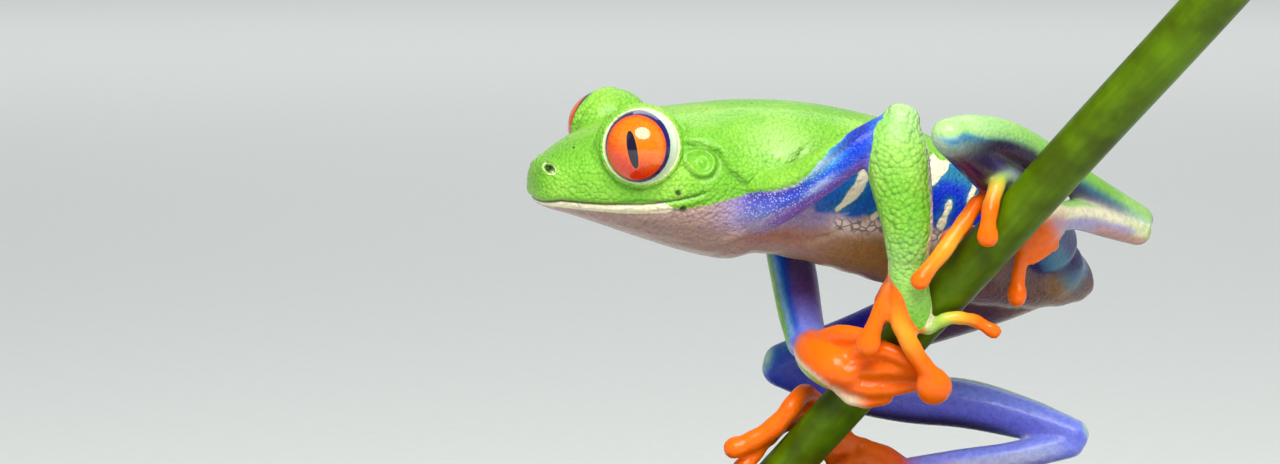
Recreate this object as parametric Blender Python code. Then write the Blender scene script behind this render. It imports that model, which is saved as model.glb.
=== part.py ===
"""Red-eyed tree frog, life size, gripping a cut length of plant stem on a display stand.

The frog looks towards -X, its left side faces -Y and +Z is up.  The origin is the centre of
the stand base's underside.  Sizes below are in millimetres and become metres when a mesh is
made.  Every solid is a loft of rings; a solid that meets an earlier one is cut back by a
copy of it that is larger by the parting gap, so neighbours touch but never overlap.
"""

import math

import bmesh
import bpy
import numpy as np
from mathutils import Matrix, Vector

MM = 0.001
PARTING_GAP = 0.3          # space left between neighbouring solids
FORM_NAME = "red_eyed_tree_frog"

# Stand
BASE_DIAMETER = 90.0
BASE_THICKNESS = 5.0
BASE_EDGE_ROUND = 1.2
ROD_DIAMETER = 3.0
ROD_BEND_RADIUS = 12.0
ROD_BEND_STEPS = 6
ROD_STRAIGHT = 4.0         # straight run between the bend and the stem

# Perch stem: a straight length cut square at both ends
STEM_LOWER_END = Vector((-11.9, 4.3, 22.5))
STEM_AXIS = Vector((0.585, -0.356, 0.728)).normalized()
STEM_LENGTH = 81.0
STEM_LOWER_RADIUS = 2.35
STEM_UPPER_RADIUS = 2.6
GRIP_RADIUS = 2.45         # stem radius where the hands and feet hold it

# Body frame: origin at the snout tip, first axis runs back to the vent, second to the
# frog's right, third up through the back
SNOUT_TIP = Vector((-33.5, -5.4, 60.35))
BODY_YAW = math.radians(16.0)
BODY_ROLL = math.radians(4.3)
BODY = (Matrix.Translation(SNOUT_TIP)
        @ Matrix.Rotation(BODY_YAW, 4, "Z")
        @ Matrix.Rotation(BODY_ROLL, 4, "X"))

# Head and trunk sections: distance behind the snout, back height, belly height, half width
HEAD_SECTIONS = (
    (0.3, -0.2, -1.5, 1.5),
    (0.7, 1.2, -2.3, 3.0),
    (1.8, 2.3, -3.0, 4.3),
    (4.4, 4.0, -3.8, 5.9),
    (7.6, 5.5, -4.9, 7.5),
    (11.8, 6.6, -6.4, 9.0),
    (16.1, 7.1, -7.8, 9.7),
    (20.6, 7.5, -8.8, 9.4),
)
TRUNK_SECTIONS = (
    (20.9, 7.5, -8.8, 9.4),
    (24.0, 7.6, -8.3, 9.1),
    (29.0, 7.3, -9.2, 9.4),
    (34.0, 6.5, -10.6, 9.6),
    (39.5, 5.1, -12.4, 9.3),
    (44.5, 3.1, -13.9, 8.4),
    (50.0, -0.6, -15.0, 7.2),
    (55.0, -4.7, -15.4, 6.1),
    (59.3, -7.9, -15.2, 4.9),
    (61.8, -10.3, -14.5, 3.2),
    (62.6, -11.7, -13.6, 1.5),
)
BODY_SIDES = 20

# Eyes: balls set in raised mounds on both sides of the head
EYE_CENTRE = Vector((10.0, 7.0, 4.1))
EYE_RADIUS = 3.85
MOUND_CENTRE = Vector((10.2, 5.9, 3.9))
MOUND_SIZE = Vector((4.7, 3.9, 4.5))

# Limbs: x, y, z and radius at each station, then how much the limb is flattened sideways
LIMB_SIDES = 10
LIMBS = {
    "left_upper_arm": (0.95, (
        (-12.0, -4.6, 57.0, 2.9), (-8.7, -8.0, 58.3, 2.7), (-4.8, -10.3, 60.5, 2.2),
        (-0.8, -11.2, 63.3, 2.0), (2.6, -11.2, 65.4, 1.8))),
    "left_forearm": (0.8, (
        (4.4, -11.0, 67.2, 2.1), (4.1, -11.3, 64.6, 3.2), (4.3, -12.0, 60.9, 3.3),
        (4.9, -12.2, 57.2, 2.8), (5.1, -11.9, 53.4, 2.15))),
    "left_hand": (0.75, (
        (5.1, -11.7, 52.3, 2.05), (5.3, -11.4, 49.7, 2.05), (6.0, -11.2, 47.2, 1.75),
        (6.4, -11.2, 46.0, 1.3))),
    "right_upper_arm": (1.0, (
        (-14.4, 5.4, 57.4, 2.8), (-11.8, 10.2, 55.5, 2.5), (-8.8, 14.0, 53.8, 2.3),
        (-6.6, 16.4, 52.7, 2.1))),
    "right_forearm": (0.9, (
        (-6.3, 16.5, 52.8, 2.2), (-5.9, 14.0, 50.9, 2.5), (-5.3, 9.8, 48.0, 2.4),
        (-4.8, 5.5, 45.1, 2.2), (-4.3, 1.0, 42.5, 1.95))),
    "right_hand": (1.0, (
        (-4.1, 0.4, 42.2, 1.95), (-3.3, -3.3, 41.5, 2.4), (-1.8, -6.3, 40.7, 2.3),
        (-0.6, -7.2, 40.2, 1.7))),
    "left_thigh": (1.0, (
        (22.0, 4.0, 53.6, 3.6), (17.2, -4.6, 58.3, 2.9), (13.5, -10.1, 61.6, 2.3),
        (10.4, -15.2, 64.2, 2.0), (8.8, -17.8, 65.5, 1.85))),
    "left_shank": (1.0, (
        (8.4, -18.2, 65.8, 1.95), (10.8, -15.7, 65.8, 2.0), (14.8, -11.4, 64.9, 1.9),
        (19.3, -7.0, 62.5, 1.7), (24.4, -2.3, 59.2, 1.4), (30.6, 3.4, 55.2, 1.45))),
    "left_tarsus": (1.0, (
        (30.3, 2.9, 54.0, 1.45), (27.0, 0.0, 55.1, 1.5), (23.2, -4.1, 56.4, 1.45),
        (20.4, -6.7, 56.4, 1.5))),
    "left_foot": (0.7, (
        (19.8, -7.1, 56.2, 1.9), (18.5, -7.5, 55.2, 2.3), (17.5, -7.8, 54.2, 1.7))),
    "right_thigh": (1.0, (
        (22.0, 8.5, 49.5, 3.5), (16.5, 12.4, 46.9, 3.8), (9.0, 14.7, 43.7, 3.4),
        (1.5, 16.0, 40.7, 2.75), (-6.3, 16.9, 38.0, 2.2))),
    "right_shank": (1.0, (
        (-6.5, 16.9, 37.5, 2.15), (-1.0, 16.3, 35.6, 2.35), (6.5, 15.5, 34.3, 2.6),
        (13.5, 14.9, 33.8, 2.7), (20.0, 13.8, 32.3, 2.3), (25.0, 12.7, 30.7, 1.8))),
    "right_tarsus": (1.0, (
        (24.6, 12.5, 29.9, 1.7), (18.5, 11.3, 28.6, 1.6), (12.5, 9.8, 28.0, 1.6),
        (6.8, 7.8, 27.4, 1.6))),
    "right_foot": (0.8, (
        (5.9, 7.5, 27.4, 1.8), (3.7, 6.4, 28.4, 2.3), (1.7, 5.6, 29.6, 1.9))),
}

# Digits: stations in stem coordinates (distance up the stem, angle round it with 0 on the
# -Y side and 90 below, height of the centre line above its surface), thickness radius and
# radius of the round pad at the tip
DIGIT_SIDES = 7
DIGITS = {
    "left_finger_1": (0.65, 0.95, ((34.6, -73, 3.1), (32.6, -84, 2.4), (30.3, -106, 1.9),
                                   (28.6, -132, 1.3))),
    "left_finger_2": (0.75, 1.3, ((34.2, -56, 3.5), (32.2, -47, 3.6), (30.0, -36, 3.9),
                                  (28.7, -30, 4.0))),
    "left_finger_3": (0.9, 1.75, ((34.4, -46, 3.3), (32.6, -25, 2.9), (31.5, 2, 2.9),
                                  (30.5, 29, 3.6), (29.3, 45, 4.6))),
    "left_finger_4": (0.8, 0.9, ((33.6, 8, 1.5), (34.6, 22, 1.3), (35.6, 42, 1.4),
                                 (36.4, 70, 1.7), (36.5, 84, 3.9))),
    "right_finger_1": (0.75, 1.1, ((24.6, -58, 1.9), (26.3, -46, 1.5), (27.9, -32, 1.4),
                                   (29.2, -18, 1.3))),
    "right_finger_2": (0.75, 1.1, ((24.2, -36, 1.8), (26.0, -12, 1.3), (27.7, 14, 1.3),
                                   (28.9, 38, 1.4))),
    "right_finger_3": (0.75, 1.1, ((23.0, -24, 1.7), (24.2, 6, 1.3), (25.5, 32, 1.3),
                                   (26.9, 54, 1.5))),
    "right_finger_4": (0.75, 1.1, ((21.9, -30, 1.5), (21.6, -8, 1.2), (21.9, 14, 1.1),
                                   (22.6, 32, 1.1))),
    "left_toe_1": (0.65, 0.85, ((46.2, 142, 3.0), (45.6, 136, 4.2), (45.4, 134, 5.2))),
    "left_toe_2": (0.7, 1.05, ((45.2, 158, 2.4), (43.5, 180, 1.5), (41.9, 208, 1.2),
                               (41.3, 240, 1.2), (40.9, 268, 1.2))),
    "left_toe_3": (0.75, 1.25, ((45.2, 143, 2.6), (43.0, 131, 2.5), (41.4, 120, 3.1),
                                (40.2, 112, 3.9))),
    "left_toe_4": (0.85, 1.3, ((46.4, 160, 3.2), (45.9, 190, 2.5), (46.2, 226, 1.5),
                               (45.9, 262, 1.3), (44.3, 294, 1.6), (41.6, 316, 2.8),
                               (38.6, 328, 4.4))),
    "left_toe_5": (0.85, 1.3, ((47.6, 158, 3.4), (48.2, 190, 2.6), (48.6, 230, 1.5),
                               (48.3, 270, 1.1), (47.2, 306, 1.1), (45.2, 338, 1.3))),
    "right_toe_1": (0.65, 0.9, ((11.6, 128, 8.0), (10.6, 122, 7.6), (9.7, 118, 7.4))),
    "right_toe_2": (0.75, 1.25, ((11.9, 132, 6.2), (10.8, 121, 5.0), (9.4, 108, 4.6),
                                 (8.3, 100, 4.7))),
    "right_toe_3": (0.8, 1.25, ((12.0, 134, 4.4), (11.3, 104, 1.8), (10.7, 60, 1.2),
                                (9.6, 22, 1.2), (8.0, 0, 1.0))),
    "right_toe_4": (0.85, 1.35, ((12.3, 146, 4.6), (10.8, 168, 3.6), (9.2, 196, 2.4),
                                 (7.9, 226, 1.3), (6.3, 258, 1.1), (4.6, 282, 1.4))),
    "right_toe_5": (0.85, 1.5, ((13.1, 152, 4.6), (12.9, 186, 3.8), (12.9, 212, 2.9),
                                (11.9, 238, 2.2), (10.0, 262, 2.3), (7.8, 280, 3.1))),
}

# How finely the lofts are made
HEAD_STEPS = 2
TRUNK_STEPS = 1
BODY_SQUARENESS = 2.25     # power of the superellipse of a body section
LIMB_STEPS = 2
FLATTENED_SIDE = Vector((0.0, 1.0, 0.0))
DIGIT_STEPS = 2
PAD_LENGTH = 1.7           # length of a tip's swelling, in pad radii
PAD_FLATNESS = 0.75
DOME_ANGLES = (math.radians(34), math.radians(66))
WELD_DISTANCE = 0.002
SHARP_ANGLE = math.radians(40)

# Finish of each kind of solid: colour (linear), roughness, metallic
FINISHES = {
    "leaf_green_skin": ((0.27, 0.62, 0.04), 0.35, 0.0),
    "violet_blue_skin": ((0.08, 0.09, 0.48), 0.35, 0.0),
    "orange_skin": ((0.93, 0.19, 0.01), 0.3, 0.0),
    "red_eye": ((0.85, 0.08, 0.01), 0.08, 0.0),
    "stem_bark": ((0.15, 0.28, 0.01), 0.5, 0.0),
    "satin_black_enamel": ((0.03, 0.03, 0.035), 0.4, 0.0),
    "brushed_steel": ((0.55, 0.55, 0.56), 0.3, 1.0),
}


def clear_scene():
    for old in list(bpy.data.objects):
        bpy.data.objects.remove(old, do_unlink=True)


def make_material(name):
    colour, roughness, metallic = FINISHES[name]
    material = bpy.data.materials.get(name) or bpy.data.materials.new(name)
    material.use_nodes = True
    shader = material.node_tree.nodes["Principled BSDF"]
    shader.inputs["Base Color"].default_value = (*colour, 1.0)
    shader.inputs["Roughness"].default_value = roughness
    shader.inputs["Metallic"].default_value = metallic
    return material


def mesh_object(name, bm):
    """Turn a bmesh in millimetres into an object in metres with outward faces."""
    bmesh.ops.recalc_face_normals(bm, faces=bm.faces)
    bmesh.ops.scale(bm, vec=Vector((MM, MM, MM)), verts=bm.verts)
    mesh = bpy.data.meshes.new(name)
    bm.to_mesh(mesh)
    bm.free()
    mesh.shade_smooth()
    return bpy.data.objects.new(name, mesh)


def squared(co, power):
    """Move a point of the unit circle outwards to a superellipse of the given power."""
    return Vector((math.copysign(abs(co.x) ** (2.0 / power), co.x),
                   math.copysign(abs(co.y) ** (2.0 / power), co.y), 0.0))


def bridge_rings(placements, sides, power=2.0):
    """Bridge rings, each put in place by its matrix, into one closed skin."""
    bm = bmesh.new()
    loops = []
    last = len(placements) - 1
    for index, matrix in enumerate(placements):
        made = bmesh.ops.create_circle(bm, cap_ends=index in (0, last), radius=1.0,
                                       segments=sides)
        for vert in made["verts"]:
            vert.co = matrix @ squared(vert.co, power)
        loops.append(list({edge for vert in made["verts"] for edge in vert.link_edges}))
    for lower, upper in zip(loops, loops[1:]):
        bmesh.ops.bridge_loops(bm, edges=lower + upper)
    return bm


def smooth_path(stations, steps):
    """Rows on a Catmull-Rom curve through the stations, with `steps` rows a span."""
    knots = np.array(stations, dtype=float)
    padded = np.vstack((2 * knots[0] - knots[1], knots, 2 * knots[-1] - knots[-2]))
    rows = []
    for before, start, end, after in zip(padded, padded[1:], padded[2:], padded[3:]):
        for t in np.arange(steps) / steps:
            rows.append(0.5 * (2 * start + (end - before) * t
                               + (2 * before - 5 * start + 4 * end - after) * t ** 2
                               + (3 * start - before - 3 * end + after) * t ** 3))
    rows.append(knots[-1])
    return np.array(rows)


def tube(name, centres, half_sizes, flat_sides, sides):
    """A tube with domed ends through the centres.

    half_sizes holds the half width and half depth at each centre, and flat_sides the
    direction in which its depth is measured.
    """
    ahead = [(b - a).normalized() for a, b in zip(centres, centres[1:])]
    tangents = [ahead[0]] + [(a + b).normalized() for a, b in zip(ahead, ahead[1:])]
    tangents.append(ahead[-1])
    rings = [(c, t, s[0], s[1], f)
             for c, t, s, f in zip(centres, tangents, half_sizes, flat_sides)]
    for end, sign in ((rings[0], -1.0), (rings[-1], 1.0)):
        centre, along, wide, deep, flat_side = end
        for lean in DOME_ANGLES:
            reach = sign * min(wide, deep) * math.sin(lean)
            cap = (centre + along * reach, along, wide * math.cos(lean),
                   deep * math.cos(lean), flat_side)
            rings.insert(0 if sign < 0 else len(rings), cap)
    placements = []
    for centre, along, wide, deep, flat_side in rings:
        across = flat_side.cross(along).normalized()
        inward = along.cross(across)
        turn = Matrix((across * wide, inward * deep, along)).transposed().to_4x4()
        placements.append(Matrix.Translation(centre) @ turn)
    return mesh_object(name, bridge_rings(placements, sides))


def limb(name, grow=0.0):
    """One segment of an arm or leg, flattened from side to side."""
    flatness, stations = LIMBS[name]
    rows = smooth_path(stations, LIMB_STEPS)
    centres = [Vector(row[:3]) for row in rows]
    half_sizes = [(row[3] + grow, row[3] * flatness + grow) for row in rows]
    return tube(name, centres, half_sizes, [FLATTENED_SIDE] * len(rows), LIMB_SIDES)


def stem_side(angle):
    """Direction square to the stem at an angle in degrees round it."""
    front = Vector((0.0, -1.0, 0.0))
    front = (front - STEM_AXIS * front.dot(STEM_AXIS)).normalized()
    below = STEM_AXIS.cross(front)
    return front * math.cos(math.radians(angle)) + below * math.sin(math.radians(angle))


def digit(name, grow=0.0):
    """A finger or toe that follows the stem's surface and ends in a round pad."""
    thickness, pad, stations = DIGITS[name]
    rows = smooth_path(stations, DIGIT_STEPS)
    flat_sides = [stem_side(row[1]) for row in rows]
    centres = [STEM_LOWER_END + STEM_AXIS * row[0] + side * (GRIP_RADIUS + row[2])
               for row, side in zip(rows, flat_sides)]
    half_sizes = []
    for centre in centres:
        from_tip = (centre - centres[-1]).length
        swell = math.sqrt(max(0.0, 1.0 - (from_tip / (PAD_LENGTH * pad)) ** 2))
        wide = max(thickness, pad * swell)
        deep = max(thickness, pad * swell * PAD_FLATNESS)
        half_sizes.append((wide + grow, deep + grow))
    return tube(name, centres, half_sizes, flat_sides, DIGIT_SIDES)


def body_loft(name, sections, steps, grow):
    """Loft of upright sections along the body, flat at both ends."""
    placements = []
    for back, top, bottom, half_width in smooth_path(sections, steps):
        half_height = (top - bottom) / 2 + grow
        placements.append(
            BODY @ Matrix.Translation((back, 0.0, (top + bottom) / 2))
            @ Matrix.Rotation(math.pi / 2, 4, "Z") @ Matrix.Rotation(math.pi / 2, 4, "X")
            @ Matrix.Diagonal((half_width + grow, half_height, 1.0, 1.0)))
    placements[0] = placements[0] @ Matrix.Translation((0.0, 0.0, -grow))
    placements[-1] = placements[-1] @ Matrix.Translation((0.0, 0.0, grow))
    return mesh_object(name, bridge_rings(placements, BODY_SIDES, BODY_SQUARENESS))


def eyeball(name, grow=0.0):
    side = 1.0 if name.startswith("right") else -1.0
    centre = EYE_CENTRE * Vector((1.0, side, 1.0))
    bm = bmesh.new()
    bmesh.ops.create_uvsphere(bm, u_segments=14, v_segments=8, radius=EYE_RADIUS + grow,
                              matrix=BODY @ Matrix.Translation(centre))
    return mesh_object(name, bm)


def head(name, grow=0.0):
    """The head with its two eye mounds."""
    skull = body_loft(name, HEAD_SECTIONS, HEAD_STEPS, grow)
    mounds = []
    for side in (-1.0, 1.0):
        bm = bmesh.new()
        size = MOUND_SIZE + Vector((grow, grow, grow))
        bmesh.ops.create_uvsphere(
            bm, u_segments=14, v_segments=8, radius=1.0,
            matrix=(BODY @ Matrix.Translation(MOUND_CENTRE * Vector((1.0, side, 1.0)))
                    @ Matrix.Diagonal((*size, 1.0))))
        mounds.append(mesh_object("mound", bm))
    return combine(skull, mounds, "UNION")


def trunk(name, grow=0.0):
    return body_loft(name, TRUNK_SECTIONS, TRUNK_STEPS, grow)


def stem(name, grow=0.0):
    """The perch: a slightly tapered cylinder with square-cut ends."""
    bm = bmesh.new()
    middle = STEM_LOWER_END + STEM_AXIS * STEM_LENGTH / 2
    bmesh.ops.create_cone(bm, cap_ends=True, segments=18, radius1=STEM_LOWER_RADIUS + grow,
                          radius2=STEM_UPPER_RADIUS + grow, depth=STEM_LENGTH + 2 * grow,
                          matrix=(Matrix.Translation(middle)
                                  @ STEM_AXIS.to_track_quat("Z", "Y").to_matrix().to_4x4()))
    return mesh_object(name, bm)


def stand_base(name, grow=0.0):
    """A round plate with a rounded rim."""
    bm = bmesh.new()
    bmesh.ops.create_cone(bm, cap_ends=True, segments=36, radius1=BASE_DIAMETER / 2 + grow,
                          radius2=BASE_DIAMETER / 2 + grow, depth=BASE_THICKNESS + 2 * grow,
                          matrix=Matrix.Translation((0.0, 0.0, BASE_THICKNESS / 2)))
    rims = [edge for edge in bm.edges if abs(edge.verts[0].co.z - edge.verts[1].co.z) < 0.01]
    bmesh.ops.bevel(bm, geom=rims, offset=BASE_EDGE_ROUND, offset_type="OFFSET",
                    affect="EDGES", segments=2, profile=0.5, material=-1)
    return mesh_object(name, bm)


def stand_rod(name, grow=0.0):
    """A rod that rises from the base and bends into line with the stem's cut end."""
    level = Vector((STEM_AXIS.x, STEM_AXIS.y, 0.0)).normalized()
    lean = math.acos(STEM_AXIS.z)
    top = STEM_LOWER_END - STEM_AXIS * PARTING_GAP
    bend_end = top - STEM_AXIS * ROD_STRAIGHT
    bend_start = bend_end - (level * (1 - math.cos(lean))
                             + Vector((0.0, 0.0, math.sin(lean)))) * ROD_BEND_RADIUS
    centres = [Vector((bend_start.x, bend_start.y, BASE_THICKNESS + PARTING_GAP))]
    for step in range(ROD_BEND_STEPS + 1):
        turn = lean * step / ROD_BEND_STEPS
        centres.append(bend_start + (level * (1 - math.cos(turn))
                                     + Vector((0.0, 0.0, math.sin(turn)))) * ROD_BEND_RADIUS)
    centres.append(top)
    curve = bpy.data.curves.new(name, "CURVE")
    curve.dimensions = "3D"
    curve.bevel_depth = (ROD_DIAMETER / 2 + grow) * MM
    curve.bevel_resolution = 3
    curve.use_fill_caps = True
    spline = curve.splines.new("POLY")
    spline.points.add(len(centres) - 1)
    for point, centre in zip(spline.points, centres):
        point.co = (*(centre * MM), 1.0)
    return as_mesh(bpy.data.objects.new(name, curve))


def as_mesh(source):
    """Replace an object by a plain mesh of what its curve or modifiers make."""
    bpy.context.scene.collection.objects.link(source)
    bpy.context.view_layer.update()
    evaluated = source.evaluated_get(bpy.context.evaluated_depsgraph_get())
    mesh = bpy.data.meshes.new_from_object(evaluated)
    name = source.name
    bpy.data.objects.remove(source, do_unlink=True)
    bm = bmesh.new()
    bm.from_mesh(mesh)
    bmesh.ops.remove_doubles(bm, verts=bm.verts, dist=WELD_DISTANCE * MM)
    bmesh.ops.dissolve_degenerate(bm, edges=bm.edges, dist=WELD_DISTANCE * MM)
    keep_largest(bm)
    bm.to_mesh(mesh)
    bm.free()
    mesh.name = name
    return bpy.data.objects.new(name, mesh)


def enclosed_volume(faces):
    return sum(face.calc_center_median().dot(face.normal) * face.calc_area() for face in faces)


def keep_largest(bm):
    """Delete every loose island of faces but the one that encloses the most."""
    islands = []
    unseen = set(bm.faces)
    while unseen:
        island = {unseen.pop()}
        edge_of_island = list(island)
        while edge_of_island:
            face = edge_of_island.pop()
            for neighbour in {f for edge in face.edges for f in edge.link_faces} & unseen:
                unseen.discard(neighbour)
                island.add(neighbour)
                edge_of_island.append(neighbour)
        islands.append(island)
    islands.sort(key=enclosed_volume)
    spare = [face for island in islands[:-1] for face in island]
    bmesh.ops.delete(bm, geom=spare, context="FACES")


def combine(target, tools, operation):
    """Union or difference of an object with others, which are then removed."""
    for tool in tools:
        bpy.context.scene.collection.objects.link(tool)
        boolean = target.modifiers.new(tool.name, "BOOLEAN")
        boolean.operation = operation
        boolean.solver = "EXACT"
        boolean.object = tool
    result = as_mesh(target)
    for tool in tools:
        bpy.data.objects.remove(tool, do_unlink=True)
    return result


def bounds(thing):
    corners = np.array([vert.co for vert in thing.data.vertices])
    return corners.min(axis=0), corners.max(axis=0)


def boxes_meet(box_a, box_b):
    margin = 2 * PARTING_GAP * MM
    return bool(np.all(box_a[0] - margin < box_b[1]) and np.all(box_b[0] - margin < box_a[1]))


def build_order():
    """Name, maker and finish of every solid; later ones are cut back by earlier ones."""
    order = [("stand_base", stand_base, "satin_black_enamel"),
             ("stand_rod", stand_rod, "brushed_steel"),
             ("perch_stem", stem, "stem_bark"),
             ("left_eye", eyeball, "red_eye"),
             ("right_eye", eyeball, "red_eye"),
             ("head", head, "leaf_green_skin"),
             ("trunk", trunk, "leaf_green_skin")]
    for name in LIMBS:
        if name.endswith(("hand", "foot")):
            finish = "orange_skin"
        elif name in ("left_forearm", "left_shank", "left_tarsus"):
            finish = "leaf_green_skin"
        else:
            finish = "violet_blue_skin"
        order.append((name, limb, finish))
    order.extend((name, digit, "orange_skin") for name in DIGITS)
    return order


def main():
    clear_scene()
    frog = bpy.data.collections.new(FORM_NAME)
    bpy.context.scene.collection.children.link(frog)
    made = []
    for name, maker, finish in build_order():
        solid = maker(name)
        box = bounds(solid)
        cutters = [other_maker(other_name, PARTING_GAP)
                   for other_name, other_maker, other_box in made
                   if boxes_meet(box, other_box)]
        if cutters:
            solid = combine(solid, cutters, "DIFFERENCE")
        solid.data.materials.clear()
        solid.data.materials.append(make_material(finish))
        solid.data.shade_smooth()
        solid.data.set_sharp_from_angle(angle=SHARP_ANGLE)
        frog.objects.link(solid)
        made.append((name, maker, box))


if __name__ == "__main__":
    main()
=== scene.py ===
"""Dressed model of a red-eyed tree frog on a cut stem, laid out as a Blender add-on.

One skin covers every part of the frog's flesh.  It is lofted from the same joints as the
solids, fused by a voxel remesh, then shaped by small moves of its points: lids, lips,
nostrils, ear discs and folds.  Its markings are painted from distances along the limbs and
the body.  Lengths are in millimetres until a piece is finished.
"""

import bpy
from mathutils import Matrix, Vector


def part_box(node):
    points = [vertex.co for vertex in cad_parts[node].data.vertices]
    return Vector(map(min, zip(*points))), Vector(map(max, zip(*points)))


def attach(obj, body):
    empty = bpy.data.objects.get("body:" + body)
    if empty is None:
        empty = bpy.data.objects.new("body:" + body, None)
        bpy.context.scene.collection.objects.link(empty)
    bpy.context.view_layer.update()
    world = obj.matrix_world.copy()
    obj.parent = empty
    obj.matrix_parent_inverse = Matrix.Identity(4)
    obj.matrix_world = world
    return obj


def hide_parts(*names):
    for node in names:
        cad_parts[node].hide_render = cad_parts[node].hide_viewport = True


bl_info = {
    "name": "Red-Eyed Tree Frog",
    "version": (1, 0, 0),
    "blender": (4, 5, 0),
    "location": "View3D > Sidebar > Tree Frog",
    "description": "Builds the skin, eyes, perch and stand of a tree frog display model",
    "category": "Object",
}

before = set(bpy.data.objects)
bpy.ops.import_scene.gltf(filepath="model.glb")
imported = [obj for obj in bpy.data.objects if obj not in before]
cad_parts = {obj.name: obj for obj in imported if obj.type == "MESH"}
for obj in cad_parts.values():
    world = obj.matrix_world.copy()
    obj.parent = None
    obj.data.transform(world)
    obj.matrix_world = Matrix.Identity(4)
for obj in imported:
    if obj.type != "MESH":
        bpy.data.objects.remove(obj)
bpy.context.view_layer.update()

import math
from functools import partial
from types import SimpleNamespace

import bmesh
import bpy
import numpy as np
from bpy.props import FloatProperty, FloatVectorProperty, IntProperty, PointerProperty
from mathutils import Matrix, Vector

MM = 0.001
BODY = "root"
SIDES = (-1.0, 1.0)        # the frog's left and right, across the body frame

# ---------------------------------------------------------------- places shared with the solids

STEM_LOWER_END = Vector((-11.9, 4.3, 22.5))
STEM_AXIS = Vector((0.585, -0.356, 0.728)).normalized()
STEM_LENGTH = 81.0
GRIP_RADIUS = 2.45

SNOUT_TIP = Vector((-33.5, -5.4, 60.35))
BODY_FRAME = (Matrix.Translation(SNOUT_TIP)
              @ Matrix.Rotation(math.radians(16.0), 4, "Z")
              @ Matrix.Rotation(math.radians(4.3), 4, "X"))

# Distance behind the snout, back height, belly height, half width
BODY_SECTIONS = (
    (0.3, -0.2, -1.5, 1.5),
    (0.7, 1.2, -2.3, 3.0),
    (1.8, 2.3, -3.0, 4.3),
    (4.4, 4.0, -3.8, 5.9),
    (7.6, 5.5, -4.9, 7.5),
    (11.8, 6.6, -6.4, 9.0),
    (16.1, 7.1, -7.8, 9.7),
    (20.6, 7.5, -8.8, 9.4),
    (24.0, 7.6, -8.3, 9.1),
    (29.0, 7.3, -9.2, 9.4),
    (34.0, 6.5, -10.6, 9.6),
    (39.5, 5.1, -12.4, 9.3),
    (44.5, 3.1, -13.9, 8.4),
    (50.0, -0.6, -15.0, 7.2),
    (55.0, -4.7, -15.4, 6.1),
    (59.3, -7.9, -15.2, 4.9),
    (61.8, -10.3, -14.5, 3.2),
    (62.6, -11.7, -13.6, 1.5),
)
BODY_SQUARENESS = 2.25

EYE_CENTRE = Vector((10.0, 7.0, 4.1))
MOUND_CENTRE = Vector((10.2, 5.9, 3.9))
MOUND_SIZE = Vector((4.7, 3.9, 4.5))

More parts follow.
